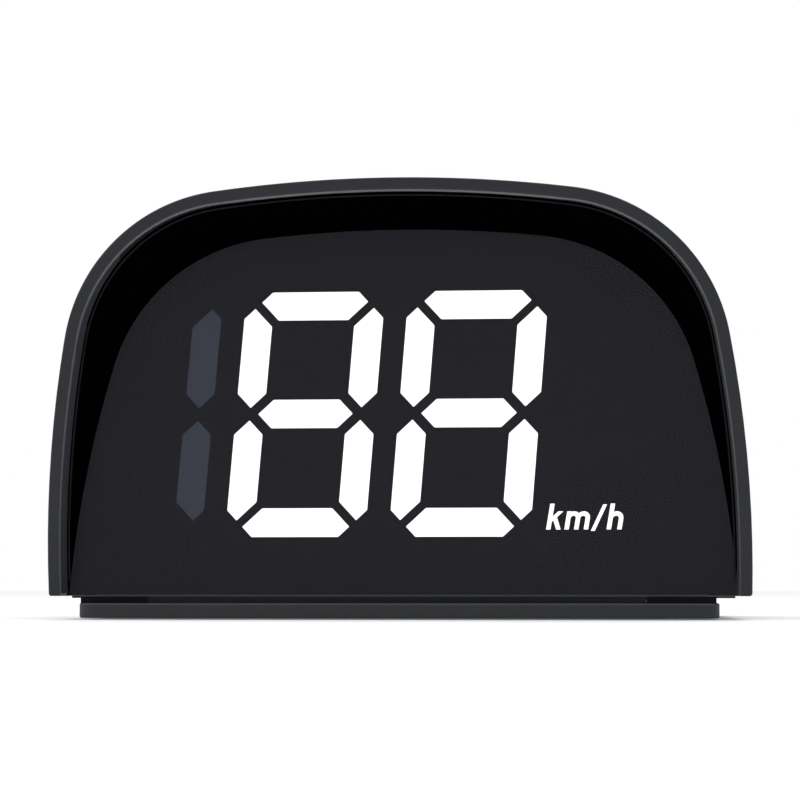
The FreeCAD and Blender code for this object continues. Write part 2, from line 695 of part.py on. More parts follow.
patch = box(-9, 9, 2.4, 20.4, BOARD_TOP, BOARD_TOP + 4)
patch = patch.fuse(cyl_z(0.9, 0.8, 11.8, BOARD_TOP + 4, BOARD_TOP + 4.3))
add("gps_antenna", patch)
can = box(-22, -11, 2.6, 12.6, BOARD_TOP, BOARD_TOP + 2.2)
add("gps_module", can.makeFillet(0.4, edges_where(can, lambda e: e.BoundBox.ZMin > BOARD_TOP + 1)))
add("control_chip", box(11.2, 18.2, 12.0, 19.0, BOARD_TOP, BOARD_TOP + 0.9))
buzzer = cyl_z(4.2, 23.4, 16.6, BOARD_TOP, BOARD_TOP + 3.0).cut(cyl_z(0.9, 23.4, 16.6, BOARD_TOP + 2, 20))
add("alarm_buzzer", buzzer)
small = [box(12.0, 14.6, 21.0, 22.3, BOARD_TOP, BOARD_TOP + 0.9),
         box(-15, -11.6, 14.6, 18.0, BOARD_TOP, BOARD_TOP + 1.8),
         box(-21.8, -18.8, 14.4, 16.0, BOARD_TOP, BOARD_TOP + 1.1),
         box(7.6, 10.6, 21.6, 23.2, BOARD_TOP, BOARD_TOP + 1.1)]
for step in range(4):
    small.append(box(-12.4 + 1.6 * step, -11.4 + 1.6 * step, 23.4, 25.0, BOARD_TOP, BOARD_TOP + 0.5))
add("board_components", group(small))
board_socket = box(PLUG_X0, PLUG_X1, BOARD_Y0 + 0.2, BOARD_Y0 + 4.0, BOARD_TOP, BOARD_TOP + 2.0)
board_socket = board_socket.cut(box(PLUG_X0 + PLUG_WALL, PLUG_X1 - PLUG_WALL, 0, BOARD_Y0 + 2.0,
                                    BOARD_TOP + 0.8, BOARD_TOP + 1.3))
add("main_board_socket", board_socket)

# ribbon between the two sockets
ribbon_start = window_point(0, BOARD1 + 1.2, RIBBON_UP)
ribbon_end = V(0, BOARD_Y0 + 1.8, BOARD_TOP + 1.05)
ribbon_path = [ribbon_start, window_point(0, BOARD1 + 4.6, RIBBON_UP),
               V(0, BOARD_Y0 - 3.4, BOARD_TOP + 1.05), ribbon_end]
along = ribbon_path[1].sub(ribbon_start).normalize()
rise = V(0, -along.z, along.y).multiply(RIBBON_T / 2)
edge_x = PLUG_X0 + 0.7
corners = [V(edge_x, ribbon_start.y - rise.y, ribbon_start.z - rise.z),
           V(edge_x, ribbon_start.y + rise.y, ribbon_start.z + rise.z)]
across = V(PLUG_X1 - PLUG_X0 - 1.4, 0, 0)
corners += [corners[1].add(across), corners[0].add(across)]
plug_mid = V((PLUG_X0 + PLUG_X1) / 2, 0, 0)
ribbon = swept([p.add(plug_mid) for p in ribbon_path], 3.0,
               Part.makePolygon(corners + corners[:1]))
add("display_ribbon", ribbon)

# battery plug and its two leads
add("battery_plug", box(-27.6, -22.6, 2.0, 6.6, BOARD_TOP, BOARD_TOP + 3.6))
leads = []
LOOP = 4.4
lead_depth = (BATTERY0 + BATTERY1) / 2
rise_to = BATTERY_TOP + LOOP + 1.5
for x in (-19.0, -20.8):
    plug_x = x - 4.8
    leads.append(lead([window_point(x, lead_depth, BATTERY_TOP), window_point(x, lead_depth, rise_to),
                       window_point(x, lead_depth + 2 * LOOP, rise_to),
                       window_point(x, lead_depth + 2 * LOOP, 20.0),
                       V(plug_x, 4.4, 18.0), V(plug_x, 4.4, BOARD_TOP + 3.6)], LOOP / 2, LEAD_R))
add("battery_leads", group(leads))

# ---- solar panel ----
half_w = SOLAR_W / 2
half_l = SOLAR_L / 2
add("solar_board", on_slope(box(-half_w, half_w, -half_l, half_l, -SOLAR_POCKET,
                                -SOLAR_POCKET + SOLAR_BOARD_T)))
glass0 = -SOLAR_POCKET + SOLAR_BOARD_T
cover_glass = box(-half_w, half_w, -half_l, half_l, glass0, glass0 + SOLAR_COVER_T)
strips = []
pitch = (SOLAR_W - 2 * CELL_MARGIN) / CELLS
cell_y = half_l - CELL_MARGIN
for i in range(CELLS):
    x0 = -half_w + CELL_MARGIN + i * pitch + CELL_GAP / 2
    x1 = x0 + pitch - CELL_GAP
    strips.append(box(x0, x1, -cell_y, cell_y, glass0, glass0 + SOLAR_CELL_T))
    cover_glass = cover_glass.cut(box(x0 - AIR_GAP, x1 + AIR_GAP, -cell_y - AIR_GAP, cell_y + AIR_GAP,
                                      glass0, glass0 + SOLAR_CELL_T + AIR_GAP))
add("solar_cover", on_slope(cover_glass))
add("solar_cells", on_slope(group(strips)))
leads = []
for x in SOLAR_LEAD_X:
    start = slope_point(x, 0, -SOLAR_POCKET)
    out = slope_point(x, 0, -SOLAR_POCKET - 5.0)
    leads.append(lead([start, out, V(x, out.y, BOARD_TOP)], 2.5, LEAD_R))
add("solar_leads", group(leads))

# ---- charging socket and its dust flap ----
def oval(width, height, y0, y1):
    r = height / 2
    half = width / 2 - r
    parts = [box(PORT_X - half, PORT_X + half, y0, y1, CONTROL_Z - r, CONTROL_Z + r)]
    parts += [cyl_y(r, PORT_X + s * half, y0, y1, CONTROL_Z) for s in (-1, 1)]
    return fuse(parts)


metal = oval(SHELL_W, SHELL_H, SOCKET_Y0, SOCKET_Y1)
inside = oval(SHELL_W - 2 * SHELL_T, SHELL_H - 2 * SHELL_T, SOCKET_Y0 + SHELL_T, SOCKET_Y1 + 1)
add("usb_c_shell", metal.cut(inside))
rear_block = oval(SHELL_W - 2 * SHELL_T, SHELL_H - 2 * SHELL_T, SOCKET_Y0 + SHELL_T, SOCKET_Y0 + 1.6)
tongue = box(PORT_X - TONGUE[0], PORT_X + TONGUE[0], SOCKET_Y0 + 1.6, SOCKET_Y1 - 1.9,
             CONTROL_Z - TONGUE[1], CONTROL_Z + TONGUE[1])
add("usb_c_tongue", fuse([rear_block, tongue]))
pivot_z = CONTROL_Z - FLAP_REACH
flap = box(PORT_X - FLAP_HALF, PORT_X + FLAP_HALF, FLAP_Y0, FLAP_Y0 + FLAP_T, pivot_z, CONTROL_Z + FLAP_REACH)
flap = flap.makeFillet(FLAP_ROUND, edges_where(flap, lambda e: e.BoundBox.YLength > FLAP_T - 0.1
                                               and e.BoundBox.ZMin > CONTROL_Z))
flap = flap.fuse(cyl_x(FLAP_T / 2, PORT_X - FLAP_HALF, PORT_X + FLAP_HALF, FLAP_Y0 + FLAP_T / 2, pivot_z))
stub = box(PORT_X - 3.2, PORT_X + 3.2, FLAP_Y0 - 0.9, FLAP_Y0 + 0.1, CONTROL_Z - 0.9, CONTROL_Z + 0.5)
pull = box(PORT_X - 2.0, PORT_X + 2.0, FLAP_Y0 + FLAP_T, FLAP_Y0 + FLAP_T + 0.2,
           CONTROL_Z + 1.9, CONTROL_Z + 2.6)
add("port_flap", fuse([flap, stub, pull]))

# ---- function button and its switch ----
CAP_OUT = DEPTH / 2
FLANGE_Y = Y_REAR - WALL - 0.02
cap = cyl_y(BUTTON_R, BUTTON_X, FLANGE_Y - 0.7, CAP_OUT, CONTROL_Z)
cap = cap.makeFillet(0.35, edges_where(cap, lambda e: e.BoundBox.YMin > CAP_OUT - 0.1))
cap = fuse([cap, cyl_y(BUTTON_R + BUTTON_RIM, BUTTON_X, FLANGE_Y - 0.7, FLANGE_Y, CONTROL_Z)])
add("function_button", cap)
CASE_Y1 = FLANGE_Y - 1.6
plunger = cyl_y(1.0, BUTTON_X, CASE_Y1 - 1.2, FLANGE_Y - 0.7, CONTROL_Z)
add("button_plunger", plunger)
case = box(BUTTON_X - 3, BUTTON_X + 3, CASE_Y1 - 3.4, CASE_Y1, BOARD_TOP, CONTROL_Z + 2.0)
case = case.cut(cyl_y(1.1, BUTTON_X, CASE_Y1 - 2.2, CASE_Y1 + 1, CONTROL_Z))
add("button_switch", case)

# ---- power slide switch ----
lever_x = SWITCH_X + SWITCH_TRAVEL / 2
SW_Y1 = Y_REAR - WALL - 0.1
case = box(SWITCH_X - SWITCH_CASE_HALF, SWITCH_X + SWITCH_CASE_HALF, SW_Y1 - 3.4, SW_Y1,
           BOARD_TOP, CONTROL_Z + 1.9)
case = case.cut(box(SWITCH_X - SWITCH_SLOT[0], SWITCH_X + SWITCH_SLOT[0], SW_Y1 - 2.6, SW_Y1 + 1,
                    CONTROL_Z - LEVER[0], CONTROL_Z + LEVER[0]))
add("power_switch", case)
add("power_slider", box(lever_x - LEVER[0], lever_x + LEVER[0], SW_Y1 - 2.4, DEPTH / 2 - 0.1,
                        CONTROL_Z - LEVER[1], CONTROL_Z + LEVER[1]))

# ---- base plate with hinge lugs ----
plate_body = box(-BASE_HALF, BASE_HALF, BASE_Y0, BASE_Y1, Z_BASE, Z_BASE_TOP)
plate_body = plate_body.makeFillet(BASE_CORNER, edges_where(plate_body, lambda e: e.BoundBox.ZLength > 1))
plate_body = rounded(plate_body, BASE_FOOT, lambda e: e.BoundBox.ZMax < Z_BASE + 0.01)
plate_body = rounded(plate_body, BASE_EDGE, lambda e: e.BoundBox.ZMin > Z_BASE_TOP - 0.01)
plate_body = plate_body.fuse(box(-RIB_HALF, RIB_HALF, RIB_Y0, RIB_Y1, Z_BASE_TOP - 0.5, Z_REST))
plate_body = plate_body.cut(wide(TROUGH_Y0, TROUGH_Y1, Z_BASE_TOP - TROUGH_D, Z_TOP))
for side in (-1, 1):
    x0, x1 = sorted((side * LUG_START, side * LUG_END))
    lug = fuse([cyl_x(HINGE_R, x0, x1, HINGE_Y, HINGE_Z),
                box(x0, x1, HINGE_Y - LUG_HALF_Y, HINGE_Y + LUG_HALF_Y, Z_BASE_TOP - TROUGH_D - 0.1, HINGE_Z)])
    plate_body = plate_body.fuse(lug)
plate_body = plate_body.cut(cyl_x(PIN_R, -BASE_HALF, BASE_HALF, HINGE_Y, HINGE_Z))
pad = box(-PAD_SIZE[0] / 2, PAD_SIZE[0] / 2, PAD_Y0, PAD_Y0 + PAD_SIZE[1], Z_PAD, Z_PAD + PAD_T)
pad = pad.makeFillet(PAD_CORNER, edges_where(pad, lambda e: e.BoundBox.ZLength > 0.5))
plate_body = plate_body.cut(pad)
add("base_plate", plate_body.removeSplitter())
add("adhesive_pad", pad)
pin = cyl_x(PIN_R, -PIN_HALF, PIN_HALF, HINGE_Y, HINGE_Z)
add("hinge_pin", pin.makeChamfer(0.2, edges_where(pin, lambda e: e.BoundBox.XLength < 0.1)))
washers = []
for side in (-1, 1):
    x0, x1 = sorted((side * (KNUCKLE_HALF + 0.05), side * (LUG_START - 0.02)))
    washers.append(cyl_x(WASHER_R, x0, x1, HINGE_Y, HINGE_Z).cut(cyl_x(PIN_R, x0, x1, HINGE_Y, HINGE_Z)))
add("friction_washers", group(washers))
strips = []
for side in (-1, 1):
    x0, x1 = sorted((side * STRIP_START, side * STRIP_END))
    strips.append(box(x0, x1, RIB_Y0, RIB_Y1, Z_BASE_TOP, Z_REST))
half, length, margin = REAR_STRIP
strips.append(box(-half, half, BASE_Y1 - margin - length, BASE_Y1 - margin, Z_BASE_TOP, Z_REST))
add("rest_strips", group(strips))

for name, shape in NODES.items():
    if not shape.isValid():
        print("INVALID", name)
    shape.exportStep("parts/" + name + ".step")
print(len(NODES), "nodes")
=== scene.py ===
import math

import bmesh
import bpy
from mathutils import Matrix, Vector


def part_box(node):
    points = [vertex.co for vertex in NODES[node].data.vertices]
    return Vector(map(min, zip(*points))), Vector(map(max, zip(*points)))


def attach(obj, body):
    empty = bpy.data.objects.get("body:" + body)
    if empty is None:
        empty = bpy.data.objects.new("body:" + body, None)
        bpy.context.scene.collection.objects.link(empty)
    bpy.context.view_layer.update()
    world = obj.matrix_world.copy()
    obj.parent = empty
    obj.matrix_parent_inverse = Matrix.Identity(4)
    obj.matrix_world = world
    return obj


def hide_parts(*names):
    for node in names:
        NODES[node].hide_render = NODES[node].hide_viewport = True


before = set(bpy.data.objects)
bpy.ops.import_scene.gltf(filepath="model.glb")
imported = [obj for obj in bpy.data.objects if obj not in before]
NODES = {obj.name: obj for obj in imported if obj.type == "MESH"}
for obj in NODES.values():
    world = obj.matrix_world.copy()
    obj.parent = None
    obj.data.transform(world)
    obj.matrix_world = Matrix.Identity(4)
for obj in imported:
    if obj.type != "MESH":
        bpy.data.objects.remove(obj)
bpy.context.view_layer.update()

MM = 0.001

# Lengths here are in millimetres, and repeat the CAD model's layout.
# front of the hood: its height, then radius and end angle of each tangent arc, and its raked rim plane
RIM_ARCH = (53.1, 178.0, 7.35, 22.79, 79.44, 160.5)
RIM_Y = -23.53
RIM_RAKE_DEG = 7.0
RIM_WALL = 1.75
BEAD_DEPTH = 3.22
HOOD_Z = 3.0

# sides of the hood, drawn in towards the back
SIDE_TAPER = 2.5
TAPER_END_Y = 33.2

# window behind the rim, leaning back
WINDOW_Y = -18.53
LEAN_DEG = 4.0

# solar panel on the sloping roof
ROOF_DEG = 44.0
PANEL_CENTRE = (0, 12.295, 36.323)
PANEL_HALF_X = 31.0
PANEL_HALF_Y = 14.5

# foam behind the battery, in the window's leaning axes: depth, height of its middle, half sizes
FOAM_DEPTH = 8.5
FOAM_UP = 19.2
FOAM_HALF_X = 21.0
FOAM_HALF_Y = 11.0
FOAM_THICK = 0.8

# throat strips: points on each arc of the arch, height of its foot, and reach from the middle to a foot
ARC_STEPS = 24
ARCH_FOOT = 0.5
MOUTH_HALF_X = 40.5

BUTTON_GREY = (0.09, 0.093, 0.10)


def box_mm(node):
    low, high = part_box(node)
    return low / MM, high / MM


# ---- node helpers ----
def new_material(name):
    material = bpy.data.materials.new(name)
    material.use_nodes = True
    tree = material.node_tree
    shader = tree.nodes["Principled BSDF"]
    return material, tree, shader


def add_node(tree, kind, **settings):
    node = tree.nodes.new(kind)
    for key, value in settings.items():
        if key in node.inputs:
            node.inputs[key].default_value = value
        else:
            setattr(node, key, value)
    return node


def math_node(tree, operation, *values):
    node = add_node(tree, "ShaderNodeMath", operation=operation)
    for socket, value in zip(node.inputs, values):
        if isinstance(value, (int, float)):
            socket.default_value = value
        else:
            tree.links.new(value, socket)
    return node.outputs[0]


def multiply(tree, *values):
    out = values[0]
    for value in values[1:]:
        out = math_node(tree, "MULTIPLY", out, value)
    return out


def object_coords(tree):
    return add_node(tree, "ShaderNodeTexCoord").outputs["Object"]


def turned_coords(tree, coords, about_x_deg, origin_mm):
    """Coordinates measured from origin_mm and turned back about X, so Y runs up a sloping face."""
    node = add_node(tree, "ShaderNodeVectorRotate", rotation_type="X_AXIS")
    tree.links.new(coords, node.inputs["Vector"])
    node.inputs["Center"].default_value = tuple(v * MM for v in origin_mm)
    node.inputs["Angle"].default_value = math.radians(about_x_deg)
    moved = add_node(tree, "ShaderNodeVectorMath", operation="SUBTRACT")
    tree.links.new(node.outputs[0], moved.inputs[0])
    moved.inputs[1].default_value = tuple(v * MM for v in origin_mm)
    return moved.outputs[0]


def axes(tree, coords):
    node = tree.nodes.new("ShaderNodeSeparateXYZ")
    tree.links.new(coords, node.inputs[0])
    return node.outputs


def noise(tree, coords, scale_mm, detail=3.0, roughness=0.5, stretch=(1, 1, 1)):
    """Noise whose features are about scale_mm across, longer along an axis with a small stretch."""
    if stretch != (1, 1, 1):
        mapped = add_node(tree, "ShaderNodeVectorMath", operation="MULTIPLY")
        tree.links.new(coords, mapped.inputs[0])
        mapped.inputs[1].default_value = stretch
        coords = mapped.outputs[0]
    scale = 1.0 / (scale_mm * MM)
    node = add_node(tree, "ShaderNodeTexNoise", Scale=scale, Detail=detail, Roughness=roughness)
    tree.links.new(coords, node.inputs["Vector"])
    return node.outputs["Fac"]


def cells(tree, coords, scale_mm, metric="EUCLIDEAN", output="Distance"):
    """Cells about scale_mm across: the distance to the nearest centre, or a colour for each cell."""
    node = add_node(tree, "ShaderNodeTexVoronoi", distance=metric, Scale=1.0 / (scale_mm * MM))
    tree.links.new(coords, node.inputs["Vector"])
    return node.outputs[output]


def ramp(tree, fac, stops):
    node = tree.nodes.new("ShaderNodeValToRGB")
    while len(node.color_ramp.elements) < len(stops):
        node.color_ramp.elements.new(0.5)
    for element, (place, colour) in zip(node.color_ramp.elements, stops):
        element.position = place
        element.color = (*colour, 1.0)
    tree.links.new(fac, node.inputs["Fac"])
    return node.outputs["Color"]


def grey(value):
    return (value, value, value)


def tones(colour, spread):
    """Darker and lighter neighbours of a colour."""
    darker = tuple(c * (1 - spread) for c in colour)
    lighter = tuple(min(1.0, c * (1 + spread)) for c in colour)
    return darker, lighter


def mottled(tree, fac, colour, spread):
    """A colour that drifts between its neighbours as fac does."""
    low, high = tones(colour, spread)
    return ramp(tree, fac, [(0.3, low), (0.7, high)])


def mix_colour(tree, mask, under, over):
    """under where the mask is 0 and over where it is 1, each a colour or a node's output."""
    node = add_node(tree, "ShaderNodeMix", data_type="RGBA")
    tree.links.new(mask, node.inputs[0])
    for socket, value in ((node.inputs[6], under), (node.inputs[7], over)):
        if isinstance(value, tuple):
            socket.default_value = (*value, 1.0)
        else:
            tree.links.new(value, socket)
    return node.outputs[2]


def mix_value(tree, low, high, fac):
    """A value that goes from low to high as fac goes from 0 to 1."""
    node = add_node(tree, "ShaderNodeMapRange")
    node.inputs["To Min"].default_value = low
    node.inputs["To Max"].default_value = high
    tree.links.new(fac, node.inputs["Value"])
    return node.outputs["Result"]


def bump(tree, shader, height, distance_mm):
    """Relief distance_mm deep, on top of any relief that the shader has already."""
    node = add_node(tree, "ShaderNodeBump", Strength=1.0, Distance=distance_mm * MM)
    tree.links.new(height, node.inputs["Height"])
    before = shader.inputs["Normal"]
    if before.is_linked:
        tree.links.new(before.links[0].from_socket, node.inputs["Normal"])
    tree.links.new(node.outputs["Normal"], before)


def lines(tree, value, pitch_mm, width_mm, offset_mm=0.0):
    """1 on lines of a given width, repeated every pitch along value."""
    shifted = math_node(tree, "ADD", value, (-offset_mm + pitch_mm / 2) * MM)
    wrapped = math_node(tree, "FLOORED_MODULO", shifted, pitch_mm * MM)
    off = math_node(tree, "ABSOLUTE", math_node(tree, "SUBTRACT", wrapped, pitch_mm / 2 * MM))
    return math_node(tree, "LESS_THAN", off, width_mm / 2 * MM)


def span(tree, value, low_mm, high_mm):
    """1 where value lies between two limits."""
    above = math_node(tree, "GREATER_THAN", value, low_mm * MM)
    return multiply(tree, above, math_node(tree, "LESS_THAN", value, high_mm * MM))


def plane_distance(tree, coords, origin_mm, normal):
    """Distance in metres in front of a plane through origin_mm."""
    moved = add_node(tree, "ShaderNodeVectorMath", operation="SUBTRACT")
    tree.links.new(coords, moved.inputs[0])
    moved.inputs[1].default_value = tuple(v * MM for v in origin_mm)
    dot = add_node(tree, "ShaderNodeVectorMath", operation="DOT_PRODUCT")
    tree.links.new(moved.outputs[0], dot.inputs[0])
    dot.inputs[1].default_value = normal
    return dot.outputs["Value"]


def inverse(tree, mask):
    return math_node(tree, "SUBTRACT", 1.0, mask)


def behind_rim(tree, coords):
    """Distance in metres behind the raked plane of the rim."""
    rake = math.radians(RIM_RAKE_DEG)
    return plane_distance(tree, coords, (0, RIM_Y, HOOD_Z), (0, math.cos(rake), math.sin(rake)))


def connect(tree, shader, colour, roughness, metallic=None):
    tree.links.new(colour, shader.inputs["Base Color"])
    tree.links.new(roughness, shader.inputs["Roughness"])
    if metallic is not None:
        tree.links.new(metallic, shader.inputs["Metallic"])


def emit(shader, colour, strength):
    shader.inputs["Emission Color"].default_value = (*colour, 1.0)
    shader.inputs["Emission Strength"].default_value = strength


def scuffed(tree, coords, roughness):
    """Roughness broken up by rare scuffs."""
    scuffs = noise(tree, coords, 3.0, 5.0, 0.7, stretch=(1, 0.25, 1))
    worn = multiply(tree, math_node(tree, "SUBTRACT", scuffs, 0.5), 0.12)
    return math_node(tree, "ADD", roughness, worn)


# ---- finishes ----
def moulded(name, colour, roughness, grain_mm, grain_depth, specular=0.5, spread=0.12):
    """Injection-moulded plastic: fine spark-eroded grain, faint clouds of tone and gloss, rare scuffs."""
    material, tree, shader = new_material(name)
    coords = object_coords(tree)
    grain = noise(tree, coords, grain_mm, 2.0)
    rough = mix_value(tree, roughness - 0.06, roughness + 0.06, grain)
    connect(tree, shader, mottled(tree, noise(tree, coords, 9.0, 4.0), colour, spread),
            scuffed(tree, coords, rough))
    shader.inputs["Specular IOR Level"].default_value = specular
    bump(tree, shader, grain, grain_depth)
    return material


def hood_finish(name, colour, lip_highlight_side, lip_highlight_crown, bead):
    """Moulded hood plastic. The lip of the front bead has a painted highlight, brighter at the crown; its
    wall has painted shade at the crown and a lighter painted tone at the sides.
    """
    material, tree, shader = new_material(name)
    coords = object_coords(tree)
    grain = noise(tree, coords, 0.25, 2.0)
    depth = behind_rim(tree, coords)
    surface = add_node(tree, "ShaderNodeTexCoord").outputs["Normal"]
    nx, ny, nz = axes(tree, surface)
    x, _, z = axes(tree, coords)

    # surfaces that look in at a line through the middle of the mouth, as deep as the bead
    middle_z = 20
    rise = math_node(tree, "SUBTRACT", z, middle_z * MM)
    outward = math_node(tree, "ADD", multiply(tree, nx, x), multiply(tree, nz, rise))
    looks_in = math_node(tree, "LESS_THAN", outward, 0.0)
    inner = multiply(tree, looks_in, span(tree, depth, -0.5, BEAD_DEPTH))

    # how squarely a surface faces out of the rim plane: the lip is the rounded edge between face and wall
    rake = math.radians(RIM_RAKE_DEG)
    facing = math_node(tree, "ADD", multiply(tree, ny, -math.cos(rake)), multiply(tree, nz, -math.sin(rake)))
    lip = ramp(tree, facing, [(0.25, grey(0)), (0.52, grey(1)), (0.80, grey(1)), (0.93, grey(0))])
    lip = multiply(tree, lip, inner, span(tree, depth, -0.5, 0.6))
    wall = multiply(tree, inner, math_node(tree, "LESS_THAN", facing, 0.12))

    crown = math_node(tree, "MAXIMUM", multiply(tree, nz, -1.0), 0.0)
    sides = math_node(tree, "ABSOLUTE", nx)
    plain = mottled(tree, noise(tree, coords, 9.0, 4.0), colour, 0.12)
    # painted light and shade on the bead's inner wall: almost black at the crown, the lighter bead tone at
    # the sides
    tone = mix_colour(tree, wall, plain, mix_colour(tree, sides, grey(0.001), bead))
    # painted highlight along the lip, brightest at the crown
    tone = mix_colour(tree, lip, tone, mix_colour(tree, crown, lip_highlight_side, lip_highlight_crown))
    connect(tree, shader, tone, scuffed(tree, coords, mix_value(tree, 0.36, 0.48, grain)))
    shader.inputs["Specular IOR Level"].default_value = 0.29
    bump(tree, shader, grain, 0.01)
    return material


def banded(name, colour, bands, specular):
    """Moulded plastic whose tone changes on bands, each a list of (axis, low, high) limits and a colour."""
    material, tree, shader = new_material(name)
    coords = object_coords(tree)
    xyz = axes(tree, coords)
    grain = noise(tree, coords, 0.25, 2.0)
    tone = mottled(tree, noise(tree, coords, 9.0, 4.0), colour, 0.12)
    for limits, band_colour in bands:
        masks = [span(tree, xyz[axis], low, high) for axis, low, high in limits]
        tone = mix_colour(tree, multiply(tree, *masks), tone, band_colour)
    connect(tree, shader, tone, mix_value(tree, 0.44, 0.56, grain))
    shader.inputs["Specular IOR Level"].default_value = specular
    bump(tree, shader, grain, 0.01)
    return material


def flocked(name, colour):
    """Black flocked lining with a velvety nap."""
    material, tree, shader = new_material(name)
    coords = object_coords(tree)
    nap = noise(tree, coords, 0.12, 4.0, 0.8)
    connect(tree, shader, mottled(tree, nap, colour, 0.4), mix_value(tree, 0.85, 0.98, nap))
    shader.inputs["Specular IOR Level"].default_value = 0.0
    bump(tree, shader, nap, 0.03)
    return material


def rubbery(name, colour, roughness, specular):
    """Soft rubber: matt, dusty in patches, with a fine pebble."""
    material, tree, shader = new_material(name)
    coords = object_coords(tree)
    dust = noise(tree, coords, 2.5, 5.0, 0.7)
    pebble = cells(tree, coords, 0.22)
    low, high = tones(colour, 0.25)
    connect(tree, shader, ramp(tree, dust, [(0.35, low), (0.75, high)]),
            mix_value(tree, roughness - 0.08, roughness + 0.05, dust))
    shader.inputs["Specular IOR Level"].default_value = specular
    bump(tree, shader, pebble, 0.012)
    return material


def metal(name, colour, roughness, streak=(1, 1, 1), streak_mm=0.15):
    """Bare or plated metal with drawn or turned streaks."""
    material, tree, shader = new_material(name)
    coords = object_coords(tree)
    streaks = noise(tree, coords, streak_mm, 3.0, 0.6, stretch=streak)
    clouds = noise(tree, coords, 4.0, 4.0)
    connect(tree, shader, mottled(tree, clouds, colour, 0.1),
            mix_value(tree, roughness - 0.1, roughness + 0.15, streaks))
    shader.inputs["Metallic"].default_value = 1.0
    bump(tree, shader, streaks, 0.004)
    return material


def glowing(name):
    """Diffusing segment: a milky face, a little cloudy, lit from behind."""
    material, tree, shader = new_material(name)
    coords = object_coords(tree)
    cloud = noise(tree, coords, 4.0, 2.0)
    connect(tree, shader, mottled(tree, cloud, grey(0.85), 0.04), mix_value(tree, 0.35, 0.5, cloud))
    emit(shader, (1, 1, 1), 3.0)
    return material


def unlit(name, colour, painted_glow):
    """Unlit segment, made faintly bright by a painted glow."""
    material, tree, shader = new_material(name)
    coords = object_coords(tree)
    cloud = noise(tree, coords, 3.0, 3.0)
    connect(tree, shader, mottled(tree, cloud, colour, 0.03), mix_value(tree, 0.4, 0.55, cloud))
    shader.inputs["Specular IOR Level"].default_value = 0.2
    # painted light: a faint glow on a segment that is not lit
    emit(shader, painted_glow, 1.0)
    bump(tree, shader, noise(tree, coords, 0.15, 2.0), 0.002)
    return material


def smoked_acrylic(name, colour, alpha, shadow_fill_glow):
    """Tinted window with a fine anti-glare texture, a few fingerprints in its gloss, and a faint even painted
    glow that fills in the shade the hood casts on it.
    """
    material, tree, shader = new_material(name)
    coords = object_coords(tree)
    smears = noise(tree, coords, 7.0, 5.0, 0.6, stretch=(1, 1, 0.5))
    connect(tree, shader, mottled(tree, noise(tree, coords, 20.0), colour, 0.05),
            mix_value(tree, 0.16, 0.26, smears))
    shader.inputs["Alpha"].default_value = alpha
    shader.inputs["IOR"].default_value = 1.49
    shader.inputs["Specular IOR Level"].default_value = 0.1
    # painted light: an even glow over the window that lifts the hood's shade off it
    emit(shader, shadow_fill_glow, 1.0)
    bump(tree, shader, noise(tree, coords, 0.12, 2.0), 0.0004)
    return material


def circuit_board(name, colour, plane, lean_deg=0.0, bare_share=0.72):
    """Solder mask over copper tracks and a woven glass core, with plated pads on a grid.

    plane says which axes the board lies along, lean_deg how far it is turned, and bare_share how much of
    the grid has no pad.
    """
    material, tree, shader = new_material(name)
    coords = object_coords(tree)
    if lean_deg:
        origin = PANEL_CENTRE if plane == "xy" else (0, WINDOW_Y, HOOD_Z)
        coords = turned_coords(tree, coords, lean_deg, origin)
    x, y, z = axes(tree, coords)
    across, along = (x, y) if plane == "xy" else (x, z)
    flat = add_node(tree, "ShaderNodeCombineXYZ")
    tree.links.new(across, flat.inputs[0])
    tree.links.new(along, flat.inputs[1])
    plan = flat.outputs[0]
    maze = cells(tree, plan, 5.2, metric="CHEBYCHEV")
    track = math_node(tree, "PINGPONG", maze, 0.11)
    track = math_node(tree, "LESS_THAN", track, 0.035)
    grid = 2.54
    pads = multiply(tree, lines(tree, across, grid, 1.0), lines(tree, along, grid, 1.0))
    chance = cells(tree, plan, grid, metric="CHEBYCHEV", output="Color")
    pads = multiply(tree, pads, math_node(tree, "GREATER_THAN", chance, bare_share))
    weave = add_node(tree, "ShaderNodeTexWave", Scale=220.0, Distortion=1.0)
    tree.links.new(plan, weave.inputs["Vector"])
    low, high = tones(colour, 0.2)
    mask_colour = ramp(tree, weave.outputs["Fac"], [(0.2, low), (0.8, colour)])
    mask_colour = mix_colour(tree, track, mask_colour, high)
    connect(tree, shader, mix_colour(tree, pads, mask_colour, (0.62, 0.6, 0.55)),
            mix_value(tree, 0.32, 0.45, noise(tree, coords, 2.0)), pads)
    bump(tree, shader, math_node(tree, "ADD", track, pads), 0.03)
    return material


def silicon(name):
    """Solar cells: blue-black crystal grains, silver fingers across and one busbar up each cell."""
    material, tree, shader = new_material(name)
    plane = turned_coords(tree, object_coords(tree), ROOF_DEG, PANEL_CENTRE)
    x, y, _ = axes(tree, plane)
    grains = cells(tree, plane, 3.0, output="Color")
    split = tree.nodes.new("ShaderNodeSeparateColor")
    tree.links.new(grains, split.inputs[0])
    crystal = ramp(tree, split.outputs[0], [(0.0, (0.006, 0.010, 0.030)), (1.0, (0.013, 0.024, 0.070))])
    fingers = lines(tree, y, 1.25, 0.14)
    cell_count = 6
    border = 1.5
    cell_pitch = 2 * (PANEL_HALF_X - border) / cell_count
    busbar = lines(tree, x, cell_pitch, 0.75, cell_pitch / 2)
    print_mask = math_node(tree, "MAXIMUM", fingers, busbar)
    connect(tree, shader, mix_colour(tree, print_mask, crystal, (0.55, 0.56, 0.58)),
            mix_value(tree, 0.22, 0.42, print_mask), multiply(tree, print_mask, 0.8))
    bump(tree, shader, print_mask, 0.02)
    return material


